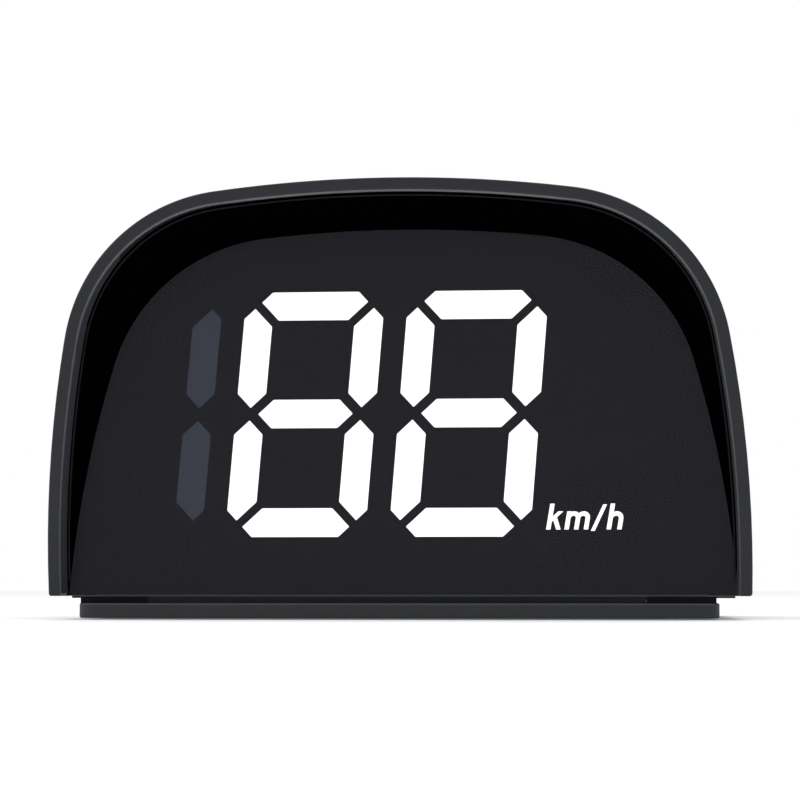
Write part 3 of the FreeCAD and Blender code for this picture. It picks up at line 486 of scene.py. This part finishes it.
def clear_cover(name):
    """Clear resin skin over the cells, with a faint dimpled texture."""
    material, tree, shader = new_material(name)
    coords = object_coords(tree)
    dimples = cells(tree, coords, 0.8)
    connect(tree, shader, mottled(tree, noise(tree, coords, 12.0), (0.10, 0.12, 0.16), 0.15),
            mix_value(tree, 0.08, 0.2, noise(tree, coords, 5.0, 5.0, 0.7)))
    shader.inputs["Alpha"].default_value = 0.18
    shader.inputs["IOR"].default_value = 1.5
    shader.inputs["Coat Weight"].default_value = 0.6
    shader.inputs["Coat Roughness"].default_value = 0.08
    bump(tree, shader, dimples, 0.006)
    return material


def pouch_foil(name):
    """Laminated pouch: satin aluminium with soft creases, and amber tape over its folded top edge."""
    material, tree, shader = new_material(name)
    coords = turned_coords(tree, object_coords(tree), LEAN_DEG, (0, WINDOW_Y, HOOD_Z))
    z = axes(tree, coords)[2]
    creases = noise(tree, coords, 6.0, 6.0, 0.65)
    tape_from = 29.4
    tape = math_node(tree, "GREATER_THAN", z, tape_from * MM)
    foil = mottled(tree, creases, (0.62, 0.63, 0.65), 0.12)
    amber = mottled(tree, creases, (0.55, 0.30, 0.04), 0.15)
    connect(tree, shader, mix_colour(tree, tape, foil, amber),
            mix_value(tree, 0.28, 0.5, creases), inverse(tree, tape))
    bump(tree, shader, creases, 0.12)
    return material


def lead_jackets(name, split_low_mm, split_high_mm):
    """One red and one black jacket, told apart by the side of the pair's middle that they lie on.

    The middle is at x = split_low_mm below the step in the pair's rise, and at split_high_mm above it.
    """
    material, tree, shader = new_material(name)
    coords = object_coords(tree)
    x, _, z = axes(tree, coords)
    middle = add_node(tree, "ShaderNodeMapRange")
    step_low = 18.0
    step_high = 22.0
    for key, value in (("From Min", step_low), ("From Max", step_high),
                       ("To Min", split_low_mm), ("To Max", split_high_mm)):
        middle.inputs[key].default_value = value * MM
    tree.links.new(z, middle.inputs["Value"])
    red_side = math_node(tree, "GREATER_THAN", x, middle.outputs["Result"])
    clouds = noise(tree, coords, 1.5, 3.0)
    connect(tree, shader, mix_colour(tree, red_side, mottled(tree, clouds, grey(0.012), 0.3),
                                     mottled(tree, clouds, (0.45, 0.02, 0.015), 0.12)),
            mix_value(tree, 0.35, 0.5, clouds))
    bump(tree, shader, noise(tree, coords, 0.3, 2.0), 0.005)
    return material


def flat_cable(name):
    """White film with tinned conductors side by side."""
    material, tree, shader = new_material(name)
    coords = object_coords(tree)
    wires = lines(tree, axes(tree, coords)[0], 0.5, 0.26)
    film = mottled(tree, noise(tree, coords, 3.0), (0.72, 0.74, 0.78), 0.05)
    connect(tree, shader, mix_colour(tree, wires, film, (0.42, 0.44, 0.48)),
            mix_value(tree, 0.3, 0.42, wires))
    bump(tree, shader, wires, 0.03)
    return material


def patch_ceramic(name):
    """Fired ceramic block with a silver patch printed on its top, and a soldered feed pin near its middle."""
    material, tree, shader = new_material(name)
    coords = object_coords(tree)
    x, y, z = axes(tree, coords)
    low, high = box_mm("gps_antenna")
    margin = 1.6
    pin_x = (low.x + high.x) / 2 + 0.8
    pin_y = (low.y + high.y) / 2 + 0.4
    silver = multiply(tree, span(tree, x, low.x + margin, high.x - margin),
                      span(tree, y, low.y + margin, high.y - margin),
                      span(tree, z, high.z - 0.4, high.z + 0.9))
    feed = multiply(tree, span(tree, x, pin_x - 1, pin_x + 1), span(tree, y, pin_y - 1, pin_y + 1),
                    span(tree, z, high.z - 0.2, high.z + 0.9))
    speckle = noise(tree, coords, 0.4, 5.0, 0.8)
    body = mottled(tree, speckle, (0.50, 0.40, 0.28), 0.12)
    surface = mix_colour(tree, silver, body, mottled(tree, speckle, grey(0.72), 0.06))
    connect(tree, shader, mix_colour(tree, feed, surface, (0.80, 0.80, 0.82)),
            mix_value(tree, 0.6, 0.3, silver), silver)
    bump(tree, shader, speckle, 0.01)
    return material


def chip_epoxy(name):
    """Black moulded package with tinned leads round its edge and a pin-one dot in one corner."""
    material, tree, shader = new_material(name)
    coords = object_coords(tree)
    x, y, _ = axes(tree, coords)
    low, high = box_mm("control_chip")
    lead_length = 0.5
    lead_pitch = 0.8
    inner = multiply(tree, span(tree, x, low.x + lead_length, high.x - lead_length),
                     span(tree, y, low.y + lead_length, high.y - lead_length))
    rows = [multiply(tree, lines(tree, value, lead_pitch, lead_pitch / 2), span(tree, value, first, last))
            for value, first, last in ((x, low.x + 0.6, high.x - 0.6), (y, low.y + 0.6, high.y - 0.6))]
    leads = multiply(tree, math_node(tree, "MAXIMUM", *rows), inverse(tree, inner))
    dot_near = 0.9
    dot_far = 1.6
    dot = multiply(tree, span(tree, x, low.x + dot_near, low.x + dot_far),
                   span(tree, y, high.y - dot_far, high.y - dot_near))
    grain = noise(tree, coords, 0.12, 3.0)
    epoxy = mix_colour(tree, dot, mottled(tree, grain, grey(0.018), 0.3), grey(0.09))
    tone = mix_colour(tree, leads, epoxy, grey(0.65))
    connect(tree, shader, tone, mix_value(tree, 0.4, 0.6, grain), leads)
    bump(tree, shader, grain, 0.006)
    return material


def small_parts(name):
    """Chip resistors, coils and capacitors: dark bodies, and a rear row in tan ceramic with tinned ends."""
    material, tree, shader = new_material(name)
    coords = object_coords(tree)
    y = axes(tree, coords)[1]
    grain = noise(tree, coords, 0.2, 3.0)
    row = span(tree, y, 23.3, 25.2)
    ends = multiply(tree, row, inverse(tree, span(tree, y, 23.75, 24.65)))
    dark = mottled(tree, grain, grey(0.03), 0.3)
    tan = mottled(tree, grain, (0.42, 0.30, 0.18), 0.1)
    tone = mix_colour(tree, ends, mix_colour(tree, row, dark, tan), grey(0.7))
    connect(tree, shader, tone, mix_value(tree, 0.3, 0.55, grain), ends)
    bump(tree, shader, grain, 0.005)
    return material


def shield_can(name):
    """Tinned steel can with a field of small vent holes."""
    material, tree, shader = new_material(name)
    coords = object_coords(tree)
    x, y, _ = axes(tree, coords)
    low, high = box_mm("gps_module")
    hole_pitch = 1.8
    hole_size = 0.7
    field = multiply(tree, span(tree, x, low.x + 1.5, high.x - 1.5), span(tree, y, low.y + 1.4, high.y - 1.2))
    holes = multiply(tree, lines(tree, x, hole_pitch, hole_size), lines(tree, y, hole_pitch, hole_size),
                     field)
    roll = noise(tree, coords, 0.3, 3.0, 0.6, stretch=(0.1, 1, 1))
    connect(tree, shader, mix_colour(tree, holes, mottled(tree, roll, grey(0.66), 0.08), grey(0.01)),
            mix_value(tree, 0.22, 0.4, roll))
    shader.inputs["Metallic"].default_value = 1.0
    bump(tree, shader, inverse(tree, holes), 0.08)
    return material


def led_package(name):
    """White lamp package with a warm phosphor window."""
    material, tree, shader = new_material(name)
    coords = object_coords(tree)
    grain = noise(tree, coords, 0.5, 3.0)
    connect(tree, shader, ramp(tree, grain, [(0.35, (0.85, 0.85, 0.82)), (0.6, (0.80, 0.62, 0.12))]),
            mix_value(tree, 0.3, 0.5, grain))
    emit(shader, (1.0, 0.97, 0.9), 1.5)
    bump(tree, shader, grain, 0.01)
    return material


def contact_tongue(name):
    """Black insulator with gold contacts along both faces."""
    material, tree, shader = new_material(name)
    coords = object_coords(tree)
    x, y, _ = axes(tree, coords)
    contact_pitch = 0.5
    contacts = lines(tree, x, contact_pitch, 0.26, contact_pitch / 2)
    gold = multiply(tree, contacts, span(tree, y, 23.4, 26.6))
    grain = noise(tree, coords, 0.2, 2.0)
    black = mottled(tree, grain, grey(0.015), 0.2)
    connect(tree, shader, mix_colour(tree, gold, black, (0.80, 0.55, 0.18)),
            mix_value(tree, 0.5, 0.25, gold), gold)
    bump(tree, shader, math_node(tree, "ADD", gold, multiply(tree, grain, 0.3)), 0.02)
    return material


def button_cap(name, colour):
    """Moulded cap with a fine turned ring near its edge."""
    material, tree, shader = new_material(name)
    coords = object_coords(tree)
    x, _, z = axes(tree, coords)
    low, high = box_mm("function_button")
    up = math_node(tree, "SUBTRACT", z, (low.z + high.z) / 2 * MM)
    radius = math_node(tree, "SQRT", math_node(tree, "ADD", multiply(tree, x, x), multiply(tree, up, up)))
    ring = span(tree, radius, 2.05, 2.3)
    grain = noise(tree, coords, 0.2, 2.0)
    connect(tree, shader, mottled(tree, noise(tree, coords, 2.0, 4.0), colour, 0.1),
            mix_value(tree, 0.5, 0.62, grain))
    bump(tree, shader, grain, 0.008)
    bump(tree, shader, inverse(tree, ring), 0.12)
    return material


def ridged(name, colour):
    """Moulded grip with upright ridges."""
    material, tree, shader = new_material(name)
    coords = object_coords(tree)
    pitch = 0.6
    ridges = lines(tree, axes(tree, coords)[0], pitch, pitch / 2, pitch / 2)
    grain = noise(tree, coords, 0.2, 2.0)
    connect(tree, shader, mottled(tree, grain, colour, 0.15), mix_value(tree, 0.45, 0.6, grain))
    bump(tree, shader, ridges, 0.08)
    return material


def foam_finish(name, colour, pore_mm):
    """Closed-cell foam: pores of two sizes, soft and quite matt."""
    material, tree, shader = new_material(name)
    coords = object_coords(tree)
    pores = cells(tree, coords, pore_mm)
    large = cells(tree, coords, pore_mm * 2.7)
    low, high = tones(colour, 0.3)
    connect(tree, shader, ramp(tree, pores, [(0.05, low), (0.45, high)]),
            mix_value(tree, 0.8, 0.95, large))
    shader.inputs["Specular IOR Level"].default_value = 0.25
    bump(tree, shader, math_node(tree, "ADD", pores, large), pore_mm * 0.25)
    return material


def paint(material, *nodes):
    for name in nodes:
        slots = NODES[name].data.materials
        slots.clear()
        slots.append(material)


def soften(width_mm, *nodes):
    """Small bevels on the sharp edges of moulded parts, so that they catch the light."""
    for name in nodes:
        modifier = NODES[name].modifiers.new("edge", "BEVEL")
        modifier.width = width_mm * MM
        modifier.segments = 2
        modifier.limit_method = "ANGLE"
        modifier.angle_limit = math.radians(40)


# ---- pieces built here ----
def rounded_outline(half_x, half_y, corner, steps=6, runs=8):
    """Points round a rectangle with round corners, with extra points along its straight sides."""
    points = []
    centres = ((1, 1, 0), (-1, 1, 90), (-1, -1, 180), (1, -1, 270))
    for sx, sy, start in centres:
        cx = sx * (half_x - corner)
        cy = sy * (half_y - corner)
        for i in range(steps + 1):
            angle = math.radians(start + 90 * i / steps)
            points.append((cx + corner * math.cos(angle), cy + corner * math.sin(angle)))
        last = points[-1]
        after = math.radians(start + 90)
        nx, ny = centres[(start // 90 + 1) % 4][:2]
        target = (nx * (half_x - corner) + corner * math.cos(after),
                  ny * (half_y - corner) + corner * math.sin(after))
        for i in range(1, runs):
            share = i / runs
            points.append((last[0] + (target[0] - last[0]) * share,
                           last[1] + (target[1] - last[1]) * share))
    return points


def mesh_object(name, bm, smooth=True):
    mesh = bpy.data.meshes.new(name)
    bmesh.ops.recalc_face_normals(bm, faces=bm.faces)
    bm.to_mesh(mesh)
    bm.free()
    piece = bpy.data.objects.new(name, mesh)
    bpy.context.scene.collection.objects.link(piece)
    for polygon in mesh.polygons:
        polygon.use_smooth = smooth
    return piece


def bridge(bm, lower, upper):
    """Faces between two rings of as many vertices."""
    count = len(lower)
    for i in range(count):
        bm.faces.new((lower[i], lower[(i + 1) % count], upper[(i + 1) % count], upper[i]))


def foam_slab(name, half_x, half_y, thick, corner):
    """Die-cut foam pad: crowned edges, sides drawn in at mid-thickness and a slightly uneven face."""
    bm = bmesh.new()
    edge = thick * 0.22
    cut = edge * 0.3
    waist = edge * 0.35
    sides = [(edge, 0.0), (cut, cut), (0.0, edge), (waist, thick / 2),
             (0.0, thick - edge), (cut, thick - cut), (edge, thick)]
    face_insets = [1.0, 2.5, 5.0, 8.0]
    lower_face = [(inset, 0.0) for inset in reversed(face_insets)]
    upper_face = [(inset, thick) for inset in face_insets]
    levels = lower_face + sides + upper_face
    corner_least = 0.6
    dent = 0.03
    loops = []
    for inset, z in levels:
        ring = []
        for x, y in rounded_outline(half_x - inset, half_y - inset, max(corner - inset, corner_least)):
            depth = z
            if inset > edge * 1.5:
                sink = dent * (1 + math.sin(x * 0.9 + 1.3) * math.cos(y * 1.1))
                depth = z - sink if z > thick / 2 else z + sink
            ring.append(bm.verts.new((x * MM, y * MM, depth * MM)))
        loops.append(ring)
    for lower, upper in zip(loops, loops[1:]):
        bridge(bm, lower, upper)
    bm.faces.new(list(reversed(loops[0])))
    bm.faces.new(loops[-1])
    return mesh_object(name, bm)


def panel_seal(name, half_x, half_y, corner, width, height):
    """Bead of sealant over the joint round the solar panel."""
    bm = bmesh.new()
    sides = 10
    path = rounded_outline(half_x, half_y, corner, steps=8, runs=24)
    count = len(path)
    rings = []
    for i, (x, y) in enumerate(path):
        before, after = path[i - 1], path[(i + 1) % count]
        along = Vector((after[0] - before[0], after[1] - before[1], 0)).normalized()
        out = Vector((along.y, -along.x, 0))
        swell = 1 + 0.08 * math.sin(i * 0.7) + 0.05 * math.sin(i * 1.9 + 0.5)
        ring = []
        for k in range(sides):
            angle = 2 * math.pi * k / sides
            offset = out * (width / 2 * swell * math.cos(angle))
            point = Vector((x, y, height / 2 * math.sin(angle))) + offset
            ring.append(bm.verts.new(point * MM))
        rings.append(ring)
    for i in range(count):
        bridge(bm, rings[i], rings[(i + 1) % count])
    return mesh_object(name, bm)


def arch_outline(inset):
    """Right half of the hood's front arch, three arcs from the crown down, set in from its outer face."""
    top, r1, a1, r2, a2, r3 = RIM_ARCH
    a1 = math.radians(a1)
    a2 = math.radians(a2)
    c1 = (0.0, top - r1)
    c2 = (c1[0] + (r1 - r2) * math.sin(a1), c1[1] + (r1 - r2) * math.cos(a1))
    c3 = (c2[0] - (r3 - r2) * math.sin(a2), c2[1] - (r3 - r2) * math.cos(a2))
    a3 = math.acos((ARCH_FOOT - c3[1]) / (r3 - inset))
    points = []
    for centre, radius, start, end in ((c1, r1, 0.0, a1), (c2, r2, a1, a2), (c3, r3, a2, a3)):
        for i in range(ARC_STEPS):
            angle = start + (end - start) * i / ARC_STEPS
            points.append((centre[0] + (radius - inset) * math.sin(angle),
                           centre[1] + (radius - inset) * math.cos(angle)))
    return points


def throat_line(inset, depth):
    """World points (mm) down the right half of the hood's tapering throat, behind the rim plane."""
    rake = math.radians(RIM_RAKE_DEG)
    front = arch_outline(inset)
    rear = arch_outline(inset + SIDE_TAPER)
    half = []
    for (x0, z0), (x1, z1) in zip(front, rear):
        start = Vector((x0, RIM_Y - z0 * math.sin(rake), HOOD_Z + z0 * math.cos(rake)))
        end = Vector((x1, TAPER_END_Y, HOOD_Z + z1))
        reach = (end.y - RIM_Y) * math.cos(rake) + (end.z - HOOD_Z) * math.sin(rake)
        half.append(start.lerp(end, depth / reach))
    return half


def throat_path(at_crown, at_foot, points):
    """Line round the throat whose (inset, depth) goes from the crown's to the foot's.

    It has as many points on each side of the crown as points says, or all of them for None.
    """
    half = []
    for crown, foot in list(zip(throat_line(*at_crown), throat_line(*at_foot)))[:points]:
        half.append(crown.lerp(foot, min(1.0, (crown.x / MOUTH_HALF_X) ** 3)))
    left = [Vector((-p.x, p.y, p.z)) for p in half[1:]]
    return list(reversed(left)) + half


def throat_strip(name, crown, foot, points=None):
    """Thin strip round the inside of the hood's mouth.

    crown and foot give its section there, as two insets from the rim's inner face and two depths.
    """
    bm = bmesh.new()
    paths = []
    for i, d in ((0, 0), (0, 1), (1, 1), (1, 0)):
        at_crown = (RIM_WALL + crown[0][i], crown[1][d])
        at_foot = (RIM_WALL + foot[0][i], foot[1][d])
        paths.append(throat_path(at_crown, at_foot, points))
    rings = [[bm.verts.new(point * MM) for point in ring] for ring in zip(*paths)]
    for before, after in zip(rings, rings[1:]):
        bridge(bm, before, after)
    bm.faces.new(rings[0])
    bm.faces.new(list(reversed(rings[-1])))
    return mesh_object(name, bm, smooth=False)


def eased_strip(name, x, y, z, ease):
    """Moulded strip between two limits on each axis, with all its edges eased."""
    bm = bmesh.new()
    bmesh.ops.create_cube(bm, size=1.0)
    for vertex in bm.verts:
        place = []
        for share, (low, high) in zip(vertex.co, (x, y, z)):
            place.append((low + high) / 2 + share * (high - low))
        vertex.co = Vector(place) * MM
    bmesh.ops.bevel(bm, geom=list(bm.edges), offset=ease * MM, segments=2, profile=0.5, affect="EDGES")
    return mesh_object(name, bm, smooth=False)


def frame_matrix(origin_mm, x_axis, y_axis):
    """Placement that puts a piece's own X and Y along two world axes."""
    x_axis = Vector(x_axis)
    y_axis = Vector(y_axis)
    z_axis = x_axis.cross(y_axis)
    turn = Matrix((x_axis, y_axis, z_axis)).transposed().to_4x4()
    return Matrix.Translation(Vector(origin_mm) * MM) @ turn


def add_piece(piece, material, body):
    piece.data.materials.append(material)
    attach(piece, body)


def make_mount_pad():
    low, high = box_mm("adhesive_pad")
    size = high - low
    middle = (high + low) / 2
    pad = foam_slab("adhesive_foam_pad", size.x / 2, size.y / 2, size.z, corner=3.0)
    pad.location = Vector((middle.x, middle.y, low.z)) * MM
    add_piece(pad, foam_finish("mount_foam", (0.10, 0.105, 0.11), 0.30), "base")
    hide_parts("adhesive_pad")


def make_battery_pad():
    lean = math.radians(LEAN_DEG)
    up = Vector((0, math.sin(lean), math.cos(lean)))
    back = Vector((0, math.cos(lean), -math.sin(lean)))
    foam = foam_slab("battery_foam_pad", FOAM_HALF_X, FOAM_HALF_Y, FOAM_THICK, corner=1.0)
    middle = Vector((0, WINDOW_Y, HOOD_Z)) + up * FOAM_UP + back * FOAM_DEPTH
    foam.matrix_world = frame_matrix(middle, (1, 0, 0), up)
    add_piece(foam, foam_finish("tape_foam", (0.55, 0.55, 0.53), 0.25), "head")
    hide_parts("battery_foam")


def make_panel_bead():
    slope = math.radians(ROOF_DEG)
    over = 0.05
    seal = panel_seal("panel_sealant", PANEL_HALF_X + over, PANEL_HALF_Y + over,
                      corner=0.7, width=0.62, height=0.26)
    seal.matrix_world = frame_matrix(PANEL_CENTRE, (-1, 0, 0), (0, -math.cos(slope), math.sin(slope)))
    add_piece(seal, rubbery("sealant", grey(0.012), 0.55, 0.3), "head")


def make_mouth_strips():
    """Black flock round the crown and shoulders as painted shade, and a fine lighter bead over it as a
    painted highlight line, that goes on down to both feet.
    """
    to_shoulders = 2 * ARC_STEPS - 1
    insets = (0.03, 0.08)
    # painted shade: a black strip on the throat wall at the crown and shoulders
    shade_lining = throat_strip("mouth_shade_flock", (insets, (0.7, 3.0)), (insets, (2.95, 3.0)), to_shoulders)
    add_piece(shade_lining, flocked("shade_strip_flock", grey(0.0005)), "head")
    # painted highlight: a thin lighter line round the mouth, just in front of the baffle's lip
    highlight_line = throat_strip("mouth_highlight_line", ((0.10, 0.27), (2.0, 2.1)), ((0.20, 0.42), (3.07, 3.17)))
    add_piece(highlight_line, rubbery("highlight_line_rubber", grey(0.013), 0.8, 0.1), "head")


def make_front_buffer():
    """Facing on the front of the base plate's rib."""
    rib_half_x = 31.69
    rib_front = -24.94
    thick = 0.05
    buffer = eased_strip("front_buffer", (-rib_half_x, rib_half_x), (rib_front - thick, rib_front),
                         (2.15, 2.93), ease=0.015)
    facing = rubbery("buffer_rubber", (0.0108, 0.0118, 0.0142), 0.85, 0.1)
    add_piece(buffer, facing, "base")


def make_corner_gaskets():
    """Rubber under the window's lower corners, from the ends of the sill to the ends of the window."""
    sill_end = 39.63
    window_end = 42.9
    rubber = rubbery("gasket_rubber", (0.030, 0.031, 0.035), 0.85, 0.1)
    for side, x in (("left", (-window_end, -sill_end)), ("right", (sill_end, window_end))):
        gasket = eased_strip("corner_gasket_" + side, x, (WINDOW_Y - 0.02, WINDOW_Y + 1.45),
                             (HOOD_Z - 0.27, HOOD_Z - 0.01), ease=0.04)
        add_piece(gasket, rubber, "head")


# ---- camera and studio, in metres ----
def make_camera():
    """Low camera, a little to the right of straight ahead, tilted up slightly."""
    view_deg = 5.5
    distance = 0.3576
    eye_height = 0.0043
    tilt_up_deg = 3.785
    data = bpy.data.cameras.new("camera")
    camera = bpy.data.objects.new("camera", data)
    bpy.context.scene.collection.objects.link(camera)
    turn = math.radians(view_deg)
    camera.location = (distance * math.sin(turn), RIM_Y * MM - distance * math.cos(turn), eye_height)
    camera.rotation_euler = (math.radians(90 + tilt_up_deg), 0.0, turn)
    data.sensor_width = 36.0
    data.lens = 126.4
    data.shift_x = 0.0047
    data.clip_start = 0.01
    data.clip_end = 20.0
    bpy.context.scene.camera = camera


def area_light(name, location, size, energy):
    """Rectangular light that faces the middle of the object."""
    aim = Vector((0, 0, 0.02))
    data = bpy.data.lights.new(name, "AREA")
    data.shape = "RECTANGLE"
    data.size, data.size_y = size
    data.energy = energy
    light = bpy.data.objects.new(name, data)
    bpy.context.scene.collection.objects.link(light)
    light.location = location
    light.rotation_euler = (aim - Vector(location)).to_track_quat("-Z", "Y").to_euler()


def make_floor():
    bm = bmesh.new()
    bmesh.ops.create_grid(bm, x_segments=8, y_segments=8, size=2.0)
    floor = mesh_object("floor", bm)
    material, tree, shader = new_material("pale_floor")
    coords = object_coords(tree)
    connect(tree, shader, mottled(tree, noise(tree, coords, 60.0), grey(0.95), 0.01),
            mix_value(tree, 0.65, 0.75, noise(tree, coords, 5.0)))
    shader.inputs["Specular IOR Level"].default_value = 0.1
    emit(shader, (1, 1, 1), 0.13)
    floor.data.materials.append(material)


def make_studio():
    """White backdrop, a slightly dimmer and cooler sky to light by, two soft lights and the floor."""
    scene = bpy.context.scene
    scene.view_settings.view_transform = "Standard"
    world = bpy.data.worlds.new("studio")
    scene.world = world
    world.use_nodes = True
    tree = world.node_tree
    tree.nodes.clear()
    out = tree.nodes.new("ShaderNodeOutputWorld")
    seen = add_node(tree, "ShaderNodeBackground", Color=(1, 1, 1, 1), Strength=1.0)
    lit = add_node(tree, "ShaderNodeBackground", Color=(0.96, 0.98, 1.0, 1), Strength=0.85)
    mix = tree.nodes.new("ShaderNodeMixShader")
    path = tree.nodes.new("ShaderNodeLightPath")
    tree.links.new(path.outputs["Is Camera Ray"], mix.inputs["Fac"])
    tree.links.new(lit.outputs[0], mix.inputs[1])
    tree.links.new(seen.outputs[0], mix.inputs[2])
    tree.links.new(mix.outputs[0], out.inputs["Surface"])
    area_light("top", (0.0, 0.05, 0.5), (0.6, 0.5), energy=0.95)
    area_light("left", (-0.5, -0.25, 0.3), (0.3, 0.4), energy=0.5)
    make_floor()


# ---- finishes given to the CAD parts ----
def paint_housing():
    # painted highlight on the mouth's lip, and painted light and shade on its inner wall
    paint(hood_finish("hood_slate", (0.0118, 0.0124, 0.0155), lip_highlight_side=(0.055, 0.055, 0.062),
                      lip_highlight_crown=(0.15, 0.15, 0.165), bead=(0.048, 0.049, 0.057)), "hood_shell")
    paint(flocked("baffle_flock", grey(0.0005)), "inner_baffle")
    # painted highlight: a lighter band along the front edge of the cover, under the window
    sill_highlight = ([(1, -30, -18.4)], (0.060, 0.062, 0.070))
    paint(banded("cover_dark", (0.012, 0.0125, 0.014), [sill_highlight], specular=0.4), "bottom_cover")
    # painted highlight: a lighter band on the top front edge of the base plate
    edge_highlight = ([(1, -26, -24.5), (2, 1.88, 2.15)], (0.042, 0.043, 0.048))
    # painted shade: the rib in the gap under the hood darkened almost to black
    rib_shade = ([(1, -26, -20), (2, 2.15, 3.2)], (0.004, 0.0045, 0.0055))
    paint(banded("base_slate", (0.0142, 0.0147, 0.0172), [edge_highlight, rib_shade], specular=0.35),
          "base_plate")
    paint(rubbery("strip_rubber", (0.003, 0.0032, 0.0042), 0.85, 0.1), "rest_strips")
    steel = metal("zinc_steel", grey(0.55), 0.34, streak_mm=0.2)
    paint(steel, "board_screws", "housing_screws")
    paint(metal("turned_pin", grey(0.6), 0.22, (1, 0.15, 0.15)), "hinge_pin")
    paint(metal("spring_steel", (0.36, 0.37, 0.40), 0.3, (0.2, 1, 1)), "friction_washers")


def paint_display():
    # the window's last colour is its painted glow, filling in the hood's shade
    paint(smoked_acrylic("smoked_window", (0.006, 0.006, 0.007), 0.37, (0.0187, 0.0187, 0.0229)),
          "display_window")
    paint(moulded("mask_print", grey(0.004), 0.6, 0.1, 0.001, specular=0.1), "digit_mask")
    paint(glowing("segment_on"), "tens_segments", "units_segments", "unit_legend")
    # the unlit digit glows faintly as painted light
    paint(unlit("segment_off", (0.05, 0.056, 0.075), (0.050, 0.060, 0.083)), "hundreds_segments")
    paint(moulded("light_box_white", grey(0.82), 0.5, 0.3, 0.006, spread=0.03), "light_box")
    paint(circuit_board("led_board_green", (0.010, 0.075, 0.030), "xz", LEAN_DEG), "led_board")
    paint(led_package("lamp"), "segment_leds")
    paint(flat_cable("ribbon_film"), "display_ribbon")


def paint_power():
    paint(silicon("solar_silicon"), "solar_cells")
    paint(clear_cover("solar_resin"), "solar_cover")
    paint(circuit_board("solar_board_black", (0.010, 0.010, 0.013), "xy", ROOF_DEG, bare_share=1.0),
          "solar_board")
    paint(pouch_foil("pouch"), "battery")
    paint(lead_jackets("battery_jackets", -24.7, -19.9), "battery_leads")
    paint(lead_jackets("solar_jackets", 13.55, 13.55), "solar_leads")
    paint(metal("drawn_steel", grey(0.58), 0.25, (1, 0.12, 1)), "usb_c_shell")
    paint(contact_tongue("socket_tongue"), "usb_c_tongue")
    paint(rubbery("port_rubber", grey(0.020), 0.85, 0.3), "port_flap")


def paint_controls():
    paint(circuit_board("main_board_green", (0.008, 0.060, 0.026), "xy"), "main_board")
    paint(moulded("nylon", (0.62, 0.58, 0.46), 0.45, 0.2, 0.006, spread=0.05),
          "led_board_socket", "main_board_socket", "battery_plug")
    paint(patch_ceramic("patch_ceramic"), "gps_antenna")
    paint(shield_can("shield_tin"), "gps_module")
    paint(chip_epoxy("chip_black"), "control_chip")
    paint(moulded("buzzer_black", grey(0.014), 0.4, 0.2, 0.008), "alarm_buzzer")
    paint(small_parts("chip_parts"), "board_components")
    paint(button_cap("button_grey", BUTTON_GREY), "function_button")
    paint(moulded("plunger_black", grey(0.02), 0.5, 0.15, 0.006), "button_plunger")
    paint(moulded("switch_black", grey(0.016), 0.45, 0.15, 0.006), "button_switch", "power_switch")
    paint(ridged("slider_grey", BUTTON_GREY), "power_slider")


def soften_all():
    soften(0.04, "inner_baffle")
    soften(0.08, "rest_strips", "solar_cover", "light_box")
    soften(0.10, "control_chip", "led_board_socket", "main_board_socket", "battery_plug", "gps_antenna",
           "button_switch", "power_switch", "power_slider")


make_camera()
make_studio()
paint_housing()
paint_display()
paint_power()
paint_controls()
soften_all()
make_mount_pad()
make_battery_pad()
make_panel_bead()
make_mouth_strips()
make_front_buffer()
make_corner_gaskets()
